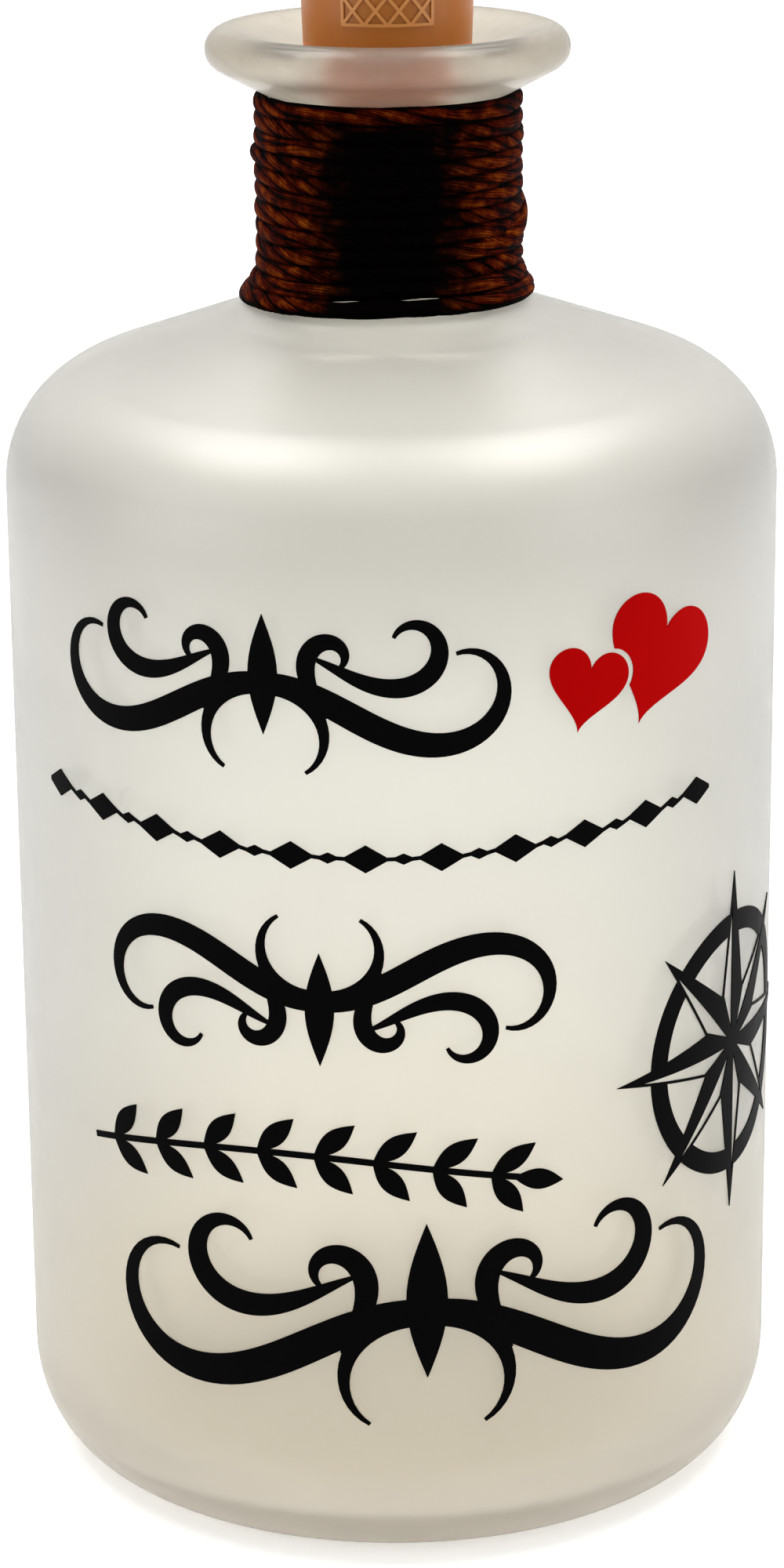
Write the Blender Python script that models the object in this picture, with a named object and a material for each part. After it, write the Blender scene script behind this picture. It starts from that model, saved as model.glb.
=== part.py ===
"""A frosted glass bottle lamp: glass, cord-wound neck, cut vinyl pictures and a lamp stopper.

Lengths are in metres. The bottle stands on z = 0 with its axis on the Z axis, and its
pictures face -Y. Every piece is a solid of its own, and pieces that rest on each other
keep SEAT_GAP of air between them.
"""

import math

import bmesh
import bpy
from mathutils import Matrix, Vector

# Fits that every piece shares
SEAT_GAP = 0.0003
CUT_OVERRUN = 0.001
MERGE_DISTANCE = 0.000001

# Counts that set how round things are
BOTTLE_SEGMENTS = 40
STOPPER_SEGMENTS = 32
SMALL_SEGMENTS = 20
PIN_SEGMENTS = 10

# Glass bottle
BODY_RADIUS = 0.042
BODY_WALL = 0.0026
FOOT_RADIUS = 0.0342
FOOT_RING_WIDTH = 0.0034
HEEL_HEIGHT = 0.0112
PUNT_HEIGHT = 0.0035
FLOOR_THICKNESS = 0.0045
SHOULDER_START = 0.1116
SHOULDER_RADIUS = 0.0135
SHOULDER_SLOPE_DEG = 19.5
NECK_RADIUS = 0.01295
NECK_FILLET = 0.0065
NECK_LENGTH = 0.01706
LIP_RADIUS = 0.01945
LIP_BEAD_RADIUS = 0.00225
LIP_UNDERSIDE_DEG = 28.0
FUNNEL_DEG = 22.0
MOUTH_EDGE_RADIUS = 0.0007

# Cord wound round the neck
CORD_RADIUS = 0.00075
CORD_TURNS = 10
CORD_POINTS_PER_TURN = 24
CORD_FLARE_DROP = 0.0033
CORD_LEAST_GAP = 0.0004

# Stopper shell, measured from the crest of the lip
STOPPER_RADIUS_AT_CREST = 0.00905
STOPPER_TAPER_DEG = 2.1
STOPPER_DEPTH = 0.023
STOPPER_FLOOR = 0.0015
FOOT_CHAMFER = 0.0006
LAMP_ROOM_RADIUS = 0.005
LAMP_ROOM_HEIGHT = 0.0056
SHELL_TOP_MARGIN = 0.0056

# Three button cells, stacked
CELL_RADIUS = 0.0058
CELL_HEIGHT = 0.0054
CELL_CAP_RADIUS = 0.0048
CELL_CAP_HEIGHT = 0.0009
CELL_NAMES = ("bottom", "middle", "top")

# Sleeve round the cells, and what carries the current
SLEEVE_WALL = 0.0005
SLEEVE_TOP_MARGIN = 0.0006
SLEEVE_SLOT_WIDTH = 0.0036
PLATE_THICKNESS = 0.0004
PLATE_RIM_MARGIN = 0.0002
STRIP_THICKNESS = 0.0004
STRIP_WIDTH = 0.0028
STRIP_FOOT_DROP = 0.0015
STRIP_FOOT_END = 0.0009
SPRING_HEIGHT = 0.0032
SPRING_LOW_RADIUS = 0.0019
SPRING_HIGH_RADIUS = 0.0032
SPRING_WIRE_RADIUS = 0.00022
SPRING_TURNS = 2.5
SPRING_POINTS_PER_TURN = 12

# Lamp in the foot of the stopper
LED_RADIUS = 0.0015
LED_BARREL = 0.003
LED_FLANGE_RADIUS = 0.0019
LED_FLANGE_HEIGHT = 0.0008
LED_PITCH = 0.00254
LEAD_RADIUS = 0.00025
LENS_WALL = 0.001
LENS_FLANGE_WIDTH = 0.0014
LENS_FLANGE_HEIGHT = 0.0008
LENS_BARREL = 0.0042

# Circuit board and what stands on it
BOARD_RADIUS = 0.0072
BOARD_THICKNESS = 0.001
SWITCH_WIDTH = 0.006
SWITCH_HEIGHT = 0.003
SWITCH_WELL_DEPTH = 0.0021
PLUNGER_RADIUS = 0.0015
PLUNGER_INSERTION = 0.001
PLUNGER_RISE = 0.0013
RESISTOR_SIZE = (0.0013, 0.0026, 0.0006)
RESISTOR_OFFSET = 0.0048
SCREW_OFFSET = 0.0052
SCREW_RADIUS = 0.0005
SCREW_LENGTH = 0.0045
SCREW_HEAD_RADIUS = 0.001
SCREW_HEAD_HEIGHT = 0.0006
POST_WALL = 0.0008

# Cap of the stopper and its push button
CAP_EXTRA_RADIUS = 0.0002
CAP_TOP_WALL = 0.002
CAP_EDGE_CHAMFER = 0.0006
CAP_ROOM_RADIUS = 0.0063
SKIRT_WALL = 0.0012
SKIRT_LENGTH = 0.0035
BUTTON_RADIUS = 0.0029
BUTTON_FLANGE_WIDTH = 0.0005
BUTTON_FLANGE_HEIGHT = 0.001
BUTTON_STEM_RADIUS = 0.0015
BUTTON_STEM_LENGTH = 0.0013
BUTTON_STAND = 0.0008
BUTTON_EDGE_CHAMFER = 0.0003

# Cut vinyl film on the glass: places are measured round the glass from the front line
FILM_THICKNESS = 0.0002
FILM_FACET = 0.006
FILM_CUT_GAP = 0.0006
SMALL_HEART_WIDTH = 0.0096
SMALL_HEART_PLACE = (0.0207, 0.098)
SMALL_HEART_TILT_DEG = -14.0
LARGE_HEART_WIDTH = 0.0146
LARGE_HEART_PLACE = (0.0300, 0.1000)
LARGE_HEART_TILT_DEG = -22.0
HEART_POINTS = 24
COMPASS_PLACE = (0.0441, 0.0528)
COMPASS_RING_RADIUS = 0.0148
COMPASS_RING_WIDTH = 0.0024
COMPASS_LONG_POINT = 0.0195
COMPASS_SHORT_POINT = 0.0182
COMPASS_WAIST = 0.0062
COMPASS_POINTS = 8
COMPASS_LINE_WIDTH = 0.0003
COMPASS_RING_STEPS = 32
UPPER_FLOURISH_PLACE = (-0.0135, 0.0965)
UPPER_FLOURISH_WIDTH = 0.053
MIDDLE_FLOURISH_PLACE = (-0.0080, 0.0680)
MIDDLE_FLOURISH_WIDTH = 0.052
LOWER_FLOURISH_PLACE = (0.0030, 0.0265)
LOWER_FLOURISH_WIDTH = 0.074
FLOURISH_STEPS = 12
FLOURISH_HAIRLINE = 0.0004
CHAIN_START = (-0.0420, 0.0835)
CHAIN_PITCH = 0.0078
CHAIN_LOZENGES = 11
CHAIN_SMALL_SHARE = 0.4
CHAIN_SAG = 0.0025
CHAIN_HAIRLINE = 0.0004
LOZENGE_LENGTH = 0.0044
LOZENGE_HEIGHT = 0.0030
SPRIG_START = (-0.0370, 0.0450)
SPRIG_LENGTH = 0.050
SPRIG_RISE = 0.003
SPRIG_STEM_WIDTH = 0.0007
SPRIG_LEAF_PAIRS = 8
SPRIG_LEAF_LENGTH = 0.0058
SPRIG_LEAF_WIDTH = 0.0023
SPRIG_LEAF_SPREAD_DEG = 42.0

# One side of a flourish: middle across and up, heading there, length, bend at its start and
# its end in degrees, and thickness; the other side is its mirror image
FLOURISH_STROKE_SHARES = (
    (0.20, -0.02, -28.0, 0.95, -760.0, 860.0, 0.046),
    (0.30, 0.06, 25.0, 0.42, -80.0, 620.0, 0.032),
    (0.09, 0.11, 70.0, 0.26, 100.0, -620.0, 0.030),
)
FLOURISH_LEAF_SHARES = (0.24, 0.06, 0.05)


def clear_scene():
    for item in list(bpy.data.objects):
        bpy.data.objects.remove(item, do_unlink=True)


def make_material(name, colour, roughness, metallic=0.0, alpha=1.0):
    material = bpy.data.materials.new(name)
    material.use_nodes = True
    shader = material.node_tree.nodes["Principled BSDF"]
    shader.inputs["Base Color"].default_value = (*colour, 1.0)
    shader.inputs["Roughness"].default_value = roughness
    shader.inputs["Metallic"].default_value = metallic
    shader.inputs["Alpha"].default_value = alpha
    material.diffuse_color = (*colour, alpha)
    return material


def finish_mesh(name, bm, material):
    bmesh.ops.remove_doubles(bm, verts=bm.verts, dist=MERGE_DISTANCE)
    bmesh.ops.recalc_face_normals(bm, faces=bm.faces)
    mesh = bpy.data.meshes.new(name)
    bm.to_mesh(mesh)
    bm.free()
    mesh.shade_smooth()
    mesh.set_sharp_from_angle(angle=math.radians(35.0))
    piece = bpy.data.objects.new(name, mesh)
    piece.data.materials.append(material)
    bpy.context.scene.collection.objects.link(piece)
    return piece


def arc(centre, radius, start_deg, end_deg, steps):
    """Points of an arc in the (radius, height) plane, both ends included."""
    points = []
    for step in range(steps + 1):
        angle = math.radians(start_deg + (end_deg - start_deg) * step / steps)
        points.append((centre[0] + radius * math.cos(angle), centre[1] + radius * math.sin(angle)))
    return points


def ellipse_quarter(centre, half_width, half_height, start_deg, end_deg, steps):
    points = []
    for step in range(steps + 1):
        angle = math.radians(start_deg + (end_deg - start_deg) * step / steps)
        across = centre[0] + half_width * math.cos(angle)
        points.append((across, centre[1] + half_height * math.sin(angle)))
    return points


def spin_outline(bm, outline, segments, centre=(0.0, 0.0)):
    """Turn a closed outline of (radius, height) points into a solid of revolution."""
    verts = [bm.verts.new((centre[0] + across, centre[1], height)) for across, height in outline]
    edges = []
    for first, second in zip(verts, verts[1:] + verts[:1]):
        on_axis = first.co.x == centre[0] and second.co.x == centre[0]
        if not on_axis:
            edges.append(bm.edges.new((first, second)))
    bmesh.ops.spin(
        bm,
        geom=verts + edges,
        cent=(centre[0], centre[1], 0.0),
        axis=(0.0, 0.0, 1.0),
        angle=math.tau,
        steps=segments,
        use_merge=True,
    )


def turned(name, outline, segments, material, centre=(0.0, 0.0)):
    bm = bmesh.new()
    spin_outline(bm, outline, segments, centre)
    return finish_mesh(name, bm, material)


def add_box(bm, low, high):
    size = Vector(high) - Vector(low)
    middle = (Vector(high) + Vector(low)) / 2
    matrix = Matrix.Translation(middle) @ Matrix.Diagonal((*size, 1.0))
    bmesh.ops.create_cube(bm, size=1.0, matrix=matrix)


def boxes(name, corners, material):
    bm = bmesh.new()
    for low, high in corners:
        add_box(bm, low, high)
    return finish_mesh(name, bm, material)


def tube(name, points, radius, material, resolution):
    curve = bpy.data.curves.new(name, "CURVE")
    curve.dimensions = "3D"
    curve.bevel_depth = radius
    curve.bevel_resolution = resolution
    curve.use_fill_caps = True
    spline = curve.splines.new("POLY")
    spline.points.add(len(points) - 1)
    for place, point in zip(spline.points, points):
        place.co = (*point, 1.0)
    piece = bpy.data.objects.new(name, curve)
    curve.materials.append(material)
    bpy.context.scene.collection.objects.link(piece)
    return piece


def boolean(piece, other, operation):
    modifier = piece.modifiers.new(operation.lower(), "BOOLEAN")
    modifier.operation = operation
    modifier.object = other
    other.hide_render = True
    other.display_type = "WIRE"


class BottleShape:
    """Places on the glass, all worked out from the sizes above."""

    def __init__(self):
        slope = math.radians(SHOULDER_SLOPE_DEG)
        self.shoulder_centre = (BODY_RADIUS - SHOULDER_RADIUS, SHOULDER_START)
        self.shoulder_end_deg = 90.0 - SHOULDER_SLOPE_DEG
        top_of_shoulder = arc(
            self.shoulder_centre, SHOULDER_RADIUS, 0.0, self.shoulder_end_deg, 1
        )[1]
        fillet_across = NECK_RADIUS + NECK_FILLET
        slope_height = top_of_shoulder[1] + (top_of_shoulder[0] - fillet_across) * math.tan(slope)
        self.fillet_centre = (fillet_across, slope_height + NECK_FILLET / math.cos(slope))
        self.lip_root = self.fillet_centre[1] + NECK_LENGTH
        under = math.radians(LIP_UNDERSIDE_DEG)
        bead_across = LIP_RADIUS - LIP_BEAD_RADIUS
        tangent_across = bead_across + LIP_BEAD_RADIUS * math.sin(under)
        tangent_height = self.lip_root + (tangent_across - NECK_RADIUS) * math.tan(under)
        self.bead_centre = (bead_across, tangent_height + LIP_BEAD_RADIUS * math.cos(under))
        self.crest = self.bead_centre[1] + LIP_BEAD_RADIUS

    def stopper_radius(self, height):
        taper = math.tan(math.radians(STOPPER_TAPER_DEG))
        return STOPPER_RADIUS_AT_CREST + (height - self.crest) * taper

    def bore_radius(self, height):
        return self.stopper_radius(height) + SEAT_GAP

    def outer_outline(self):
        """From the centre of the punt, round the outside, to the mouth."""
        ring_inner = FOOT_RADIUS - FOOT_RING_WIDTH
        punt = [(0.0, PUNT_HEIGHT)]
        punt_steps = 2
        for step in range(1, punt_steps + 1):
            across = ring_inner * step / punt_steps
            punt.append((across, PUNT_HEIGHT * (1.0 - (step / punt_steps) ** 2)))
        heel_centre = (FOOT_RADIUS, HEEL_HEIGHT)
        heel = ellipse_quarter(
            heel_centre, BODY_RADIUS - FOOT_RADIUS, HEEL_HEIGHT, -90.0, 0.0, 4
        )
        shoulder = arc(self.shoulder_centre, SHOULDER_RADIUS, 0.0, self.shoulder_end_deg, 5)
        fillet = arc(
            self.fillet_centre, NECK_FILLET, 270.0 - SHOULDER_SLOPE_DEG, 180.0, 4
        )
        bead = arc(
            self.bead_centre, LIP_BEAD_RADIUS, LIP_UNDERSIDE_DEG - 90.0, 90.0 + FUNNEL_DEG, 7
        )
        return punt + heel + shoulder + fillet + [(NECK_RADIUS, self.lip_root)] + bead

    def mouth_outline(self):
        """The rounded edge between the funnel and the bore."""
        funnel = math.radians(FUNNEL_DEG)
        bead_end = arc(self.bead_centre, LIP_BEAD_RADIUS, 90.0 + FUNNEL_DEG, 90.0, 1)[0]
        guess = self.bore_radius(self.crest)
        edge_across = guess + MOUTH_EDGE_RADIUS
        edge_height = bead_end[1] - (bead_end[0] - edge_across) * math.tan(funnel)
        edge_centre = (edge_across, edge_height - MOUTH_EDGE_RADIUS / math.cos(funnel))
        edge = arc(edge_centre, MOUTH_EDGE_RADIUS, 90.0 + FUNNEL_DEG, 180.0, 2)
        return edge[:-1] + [(self.bore_radius(edge_centre[1]), edge_centre[1])]

    def inner_outline(self):
        """From the foot of the bore, down the inside, to the middle of the floor."""
        bore_end = self.bore_radius(self.fillet_centre[1])
        inner_fillet = self.fillet_centre[0] - bore_end
        neck = arc(self.fillet_centre, inner_fillet, 180.0, 270.0 - SHOULDER_SLOPE_DEG, 3)
        shoulder = arc(
            self.shoulder_centre,
            SHOULDER_RADIUS - BODY_WALL,
            self.shoulder_end_deg,
            0.0,
            3,
        )
        inner_radius = BODY_RADIUS - BODY_WALL
        inner_foot = FOOT_RADIUS - BODY_WALL / 2
        heel_height = HEEL_HEIGHT + FLOOR_THICKNESS / 2
        heel = ellipse_quarter(
            (inner_foot, heel_height),
            inner_radius - inner_foot,
            heel_height - FLOOR_THICKNESS,
            0.0,
            -90.0,
            3,
        )
        floor = []
        floor_steps = 2
        for step in range(1, floor_steps + 1):
            across = inner_foot * (1.0 - step / floor_steps)
            lift = PUNT_HEIGHT * (1.0 - (1.0 - step / floor_steps) ** 2)
            floor.append((across, FLOOR_THICKNESS + lift))
        return neck + shoulder + heel + floor


class StopperShape:
    """Heights inside the stopper, stacked upwards from its foot."""

    def __init__(self, bottle):
        self.foot = bottle.crest - STOPPER_DEPTH
        self.floor_top = self.foot + STOPPER_FLOOR
        self.lens_flange = self.floor_top + SEAT_GAP
        self.led_flange = self.lens_flange + LENS_FLANGE_HEIGHT + SEAT_GAP
        self.lead_foot = self.led_flange + LED_FLANGE_HEIGHT + SEAT_GAP
        self.ledge = self.floor_top + LAMP_ROOM_HEIGHT
        self.plate = self.ledge + SEAT_GAP
        self.first_cell = self.plate + PLATE_THICKNESS + SEAT_GAP
        self.cell_pitch = CELL_HEIGHT + SEAT_GAP
        self.spring_foot = self.first_cell + len(CELL_NAMES) * self.cell_pitch
        self.board = self.spring_foot + SPRING_HEIGHT + SEAT_GAP
        self.board_top = self.board + BOARD_THICKNESS
        self.switch = self.board_top + SEAT_GAP
        self.switch_top = self.switch + SWITCH_HEIGHT
        self.plunger_foot = self.switch_top - PLUNGER_INSERTION
        self.plunger_top = self.switch_top + PLUNGER_RISE
        self.button_foot = self.plunger_top + SEAT_GAP
        self.flange_foot = self.button_foot + BUTTON_STEM_LENGTH
        self.flange_top = self.flange_foot + BUTTON_FLANGE_HEIGHT
        self.cap_ceiling = self.flange_top + SEAT_GAP
        self.cap_top = self.cap_ceiling + CAP_TOP_WALL
        self.shell_top = self.board_top + SHELL_TOP_MARGIN
        self.cap_foot = self.shell_top + SEAT_GAP
        self.sleeve_bore = CELL_RADIUS + SEAT_GAP
        self.sleeve_radius = self.sleeve_bore + SLEEVE_WALL
        self.battery_bore = self.sleeve_radius + SEAT_GAP
        self.sleeve_top = self.spring_foot + SLEEVE_TOP_MARGIN
        self.skirt_radius = CAP_ROOM_RADIUS + SKIRT_WALL
        self.shell_bore = self.skirt_radius + SEAT_GAP
        self.strip_foot = self.ledge - STRIP_FOOT_DROP
        self.lens_bore = LED_RADIUS + SEAT_GAP
        self.lens_radius = self.lens_bore + LENS_WALL
        self.lens_hole = self.lens_radius + SEAT_GAP


def build_bottle(bottle, material):
    outline = bottle.outer_outline() + bottle.mouth_outline() + bottle.inner_outline()
    return turned("glass_bottle", outline, BOTTLE_SEGMENTS, material)


def cord_centre_radius(bottle, height):
    """How far from the axis the cord lies at this height: on the neck, or on its fillet."""
    reach = NECK_RADIUS + SEAT_GAP + CORD_RADIUS
    below = bottle.fillet_centre[1] - height
    if below <= 0.0:
        return reach
    path_radius = NECK_FILLET - SEAT_GAP - CORD_RADIUS
    return bottle.fillet_centre[0] - math.sqrt(path_radius**2 - below**2)


def cord_points(bottle):
    under = math.radians(LIP_UNDERSIDE_DEG)
    clear = CORD_RADIUS + SEAT_GAP
    lip_height = bottle.lip_root + (SEAT_GAP + CORD_RADIUS) * math.tan(under)
    top = lip_height - clear / math.cos(under) - CORD_RADIUS * math.sin(under)
    bottom = bottle.fillet_centre[1] - CORD_FLARE_DROP
    points = []
    count = CORD_TURNS * CORD_POINTS_PER_TURN
    for step in range(count + 1):
        height = bottom + (top - bottom) * step / count
        angle = math.tau * step / CORD_POINTS_PER_TURN
        radius = cord_centre_radius(bottle, height)
        points.append(Vector((radius * math.cos(angle), radius * math.sin(angle), height)))
    diameter = 2 * CORD_RADIUS
    start = points[0] + (points[0] - points[1]).normalized() * diameter
    end = points[-1] + (points[-1] - points[-2]).normalized() * diameter
    return [start] + points + [end]


def least_gap(points, radius, apart):
    """Smallest air gap between parts of a tube that lie at least `apart` points along it."""
    nearest = min(
        (points[first] - points[second]).length
        for first in range(len(points))
        for second in range(first + apart, len(points))
    )
    return nearest - 2 * radius


def build_cord(bottle, material):
    points = cord_points(bottle)
    gap = least_gap(points, CORD_RADIUS, CORD_POINTS_PER_TURN // 2)
    print(f"neck_cord least gap to itself: {gap * 1000:.3f} mm")
    if gap <= CORD_LEAST_GAP:
        print("neck_cord turns lie closer than CORD_LEAST_GAP")
    return tube("neck_cord", points, CORD_RADIUS, material, 1)


def build_stopper_shell(bottle, stopper, material):
    outline = [
        (stopper.lens_hole, stopper.foot),
        (bottle.stopper_radius(stopper.foot) - FOOT_CHAMFER, stopper.foot),
        (bottle.stopper_radius(stopper.foot + FOOT_CHAMFER), stopper.foot + FOOT_CHAMFER),
        (bottle.stopper_radius(stopper.shell_top), stopper.shell_top),
        (stopper.shell_bore, stopper.shell_top),
        (stopper.shell_bore, stopper.sleeve_top),
        (stopper.battery_bore, stopper.sleeve_top),
        (stopper.battery_bore, stopper.ledge),
        (LAMP_ROOM_RADIUS, stopper.ledge),
        (LAMP_ROOM_RADIUS, stopper.floor_top),
        (stopper.lens_hole, stopper.floor_top),
    ]
    shell = turned("stopper_shell", outline, STOPPER_SEGMENTS, material)
    half_slot = SLEEVE_SLOT_WIDTH / 2
    slot_low = (LAMP_ROOM_RADIUS - CUT_OVERRUN, -half_slot, stopper.strip_foot - SEAT_GAP)
    slot_high = (stopper.sleeve_radius, half_slot, stopper.ledge + CUT_OVERRUN)
    slot = boxes("strip_slot_cutter", [(slot_low, slot_high)], material)
    boolean(shell, slot, "DIFFERENCE")
    return shell


def build_lens(stopper, material):
    barrel_foot = stopper.lens_flange - LENS_BARREL
    dome = arc((0.0, barrel_foot), stopper.lens_radius, -90.0, 0.0, 4)
    inner_dome = arc((0.0, barrel_foot), stopper.lens_bore, 0.0, -90.0, 3)
    flange_radius = stopper.lens_hole + LENS_FLANGE_WIDTH
    flange_top = stopper.lens_flange + LENS_FLANGE_HEIGHT
    outline = [(0.0, dome[0][1])] + dome[1:]
    outline += [
        (stopper.lens_radius, stopper.lens_flange),
        (flange_radius, stopper.lens_flange),
        (flange_radius, flange_top),
        (stopper.lens_bore, flange_top),
    ]
    outline += inner_dome[:-1] + [(0.0, inner_dome[-1][1])]
    return turned("lens", outline, SMALL_SEGMENTS, material)


def build_led(stopper, material):
    barrel_foot = stopper.led_flange - LED_BARREL
    dome = arc((0.0, barrel_foot), LED_RADIUS, -90.0, 0.0, 3)
    top = stopper.led_flange + LED_FLANGE_HEIGHT
    outline = [(0.0, dome[0][1])] + dome[1:]
    outline += [
        (LED_RADIUS, stopper.led_flange),
        (LED_FLANGE_RADIUS, stopper.led_flange),
        (LED_FLANGE_RADIUS, top),
        (0.0, top),
    ]
    return turned("led", outline, SMALL_SEGMENTS, material)


def build_led_leads(stopper, material):
    half = LED_PITCH / 2
    to_plate = [(-half, 0.0, stopper.lead_foot), (-half, 0.0, stopper.plate - SEAT_GAP)]
    to_strip = [(half, 0.0, stopper.lead_foot), (half, 0.0, stopper.strip_foot - SEAT_GAP)]
    tube("led_lead_to_plate", to_plate, LEAD_RADIUS, material, 2)
    tube("led_lead_to_strip", to_strip, LEAD_RADIUS, material, 2)


def build_contact_plate(stopper, material):
    radius = CELL_RADIUS - PLATE_RIM_MARGIN
    top = stopper.plate + PLATE_THICKNESS
    outline = [(0.0, stopper.plate), (radius, stopper.plate), (radius, top), (0.0, top)]
    return turned("contact_plate", outline, SMALL_SEGMENTS, material)


def build_cells(stopper, material):
    for index, name in enumerate(CELL_NAMES):
        low = stopper.first_cell + index * stopper.cell_pitch
        shoulder = low + CELL_HEIGHT - CELL_CAP_HEIGHT
        high = low + CELL_HEIGHT
        outline = [
            (0.0, low),
            (CELL_RADIUS, low),
            (CELL_RADIUS, shoulder),
            (CELL_CAP_RADIUS, shoulder),
            (CELL_CAP_RADIUS, high),
            (0.0, high),
        ]
        turned(f"button_cell_{name}", outline, STOPPER_SEGMENTS, material)


def build_sleeve(stopper, material):
    low = stopper.ledge + SEAT_GAP
    outline = [
        (stopper.sleeve_bore, low),
        (stopper.sleeve_radius, low),
        (stopper.sleeve_radius, stopper.sleeve_top),
        (stopper.sleeve_bore, stopper.sleeve_top),
    ]
    sleeve = turned("battery_sleeve", outline, STOPPER_SEGMENTS, material)
    half_slot = SLEEVE_SLOT_WIDTH / 2
    slot_low = (stopper.sleeve_bore - CUT_OVERRUN, -half_slot, low - CUT_OVERRUN)
    slot_high = (
        stopper.sleeve_radius + CUT_OVERRUN,
        half_slot,
        stopper.sleeve_top + CUT_OVERRUN,
    )
    slot = boxes("sleeve_slot_cutter", [(slot_low, slot_high)], material)
    boolean(sleeve, slot, "DIFFERENCE")
    return sleeve


def build_return_strip(stopper, material):
    """An L of sheet: up the slot in the sleeve, and inwards over the lamp."""
    inner = stopper.sleeve_bore
    outer = inner + STRIP_THICKNESS
    foot_top = stopper.strip_foot + STRIP_THICKNESS
    top = stopper.board - SEAT_GAP
    half = STRIP_WIDTH / 2
    corners = [
        (STRIP_FOOT_END, stopper.strip_foot),
        (outer, stopper.strip_foot),
        (outer, top),
        (inner, top),
        (inner, foot_top),
        (STRIP_FOOT_END, foot_top),
    ]
    bm = bmesh.new()
    face = bm.faces.new([bm.verts.new((across, -half, height)) for across, height in corners])
    grown = bmesh.ops.extrude_face_region(bm, geom=[face])
    moved = [item for item in grown["geom"] if isinstance(item, bmesh.types.BMVert)]
    bmesh.ops.translate(bm, verts=moved, vec=(0.0, STRIP_WIDTH, 0.0))
    return finish_mesh("return_strip", bm, material)


def build_battery_spring(stopper, material):
    low = stopper.spring_foot + SPRING_WIRE_RADIUS
    high = stopper.spring_foot + SPRING_HEIGHT - SEAT_GAP - SPRING_WIRE_RADIUS
    count = round(SPRING_TURNS * SPRING_POINTS_PER_TURN)
    points = []
    for step in range(count + 1):
        share = step / count
        angle = math.tau * SPRING_TURNS * share
        radius = SPRING_LOW_RADIUS + (SPRING_HIGH_RADIUS - SPRING_LOW_RADIUS) * share
        height = low + (high - low) * share
        points.append((radius * math.cos(angle), radius * math.sin(angle), height))
    return tube("battery_spring", points, SPRING_WIRE_RADIUS, material, 1)


def screw_places():
    return {"front": (0.0, -SCREW_OFFSET), "back": (0.0, SCREW_OFFSET)}


def pins(name, radius, low, high, material):
    """Upright cylinders at the screws' places, in one guide object."""
    bm = bmesh.new()
    for place in screw_places().values():
        outline = [(0.0, low), (radius, low), (radius, high), (0.0, high)]
        spin_outline(bm, outline, PIN_SEGMENTS, place)
    return finish_mesh(name, bm, material)


def build_board(stopper, material):
    outline = [
        (0.0, stopper.board),
        (BOARD_RADIUS, stopper.board),
        (BOARD_RADIUS, stopper.board_top),
        (0.0, stopper.board_top),
    ]
    board = turned("circuit_board", outline, STOPPER_SEGMENTS, material)
    holes = pins(
        "board_hole_cutter",
        SCREW_RADIUS + SEAT_GAP,
        stopper.board - CUT_OVERRUN,
        stopper.board_top + CUT_OVERRUN,
        material,
    )
    boolean(board, holes, "DIFFERENCE")
    return board


def build_board_screws(stopper, material):
    head_top = stopper.board - SEAT_GAP
    head_low = head_top - SCREW_HEAD_HEIGHT
    tip = head_top + SCREW_LENGTH
    outline = [
        (0.0, head_low),
        (SCREW_HEAD_RADIUS, head_low),
        (SCREW_HEAD_RADIUS, head_top),
        (SCREW_RADIUS, head_top),
        (SCREW_RADIUS, tip - SCREW_RADIUS),
        (0.0, tip),
    ]
    for side, place in screw_places().items():
        turned(f"board_screw_{side}", outline, PIN_SEGMENTS, material, place)


def build_switch(stopper, body_material, plunger_material):
    half = SWITCH_WIDTH / 2
    low = (-half, -half, stopper.switch)
    high = (half, half, stopper.switch_top)
    body = boxes("switch_body", [(low, high)], body_material)
    well_radius = PLUNGER_RADIUS + SEAT_GAP
    well_low = stopper.switch_top - SWITCH_WELL_DEPTH
    well_high = stopper.switch_top + CUT_OVERRUN
    outline = [(0.0, well_low), (well_radius, well_low), (well_radius, well_high), (0.0, well_high)]
    well = turned("switch_well_cutter", outline, SMALL_SEGMENTS, body_material)
    boolean(body, well, "DIFFERENCE")
    outline = [
        (0.0, stopper.plunger_foot),
        (PLUNGER_RADIUS, stopper.plunger_foot),
        (PLUNGER_RADIUS, stopper.plunger_top),
        (0.0, stopper.plunger_top),
    ]
    turned("switch_plunger", outline, SMALL_SEGMENTS, plunger_material)


def build_resistor(stopper, material):
    width, length, height = RESISTOR_SIZE
    low = (-RESISTOR_OFFSET - width / 2, -length / 2, stopper.switch)
    high = (-RESISTOR_OFFSET + width / 2, length / 2, stopper.switch + height)
    return boxes("resistor", [(low, high)], material)


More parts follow.
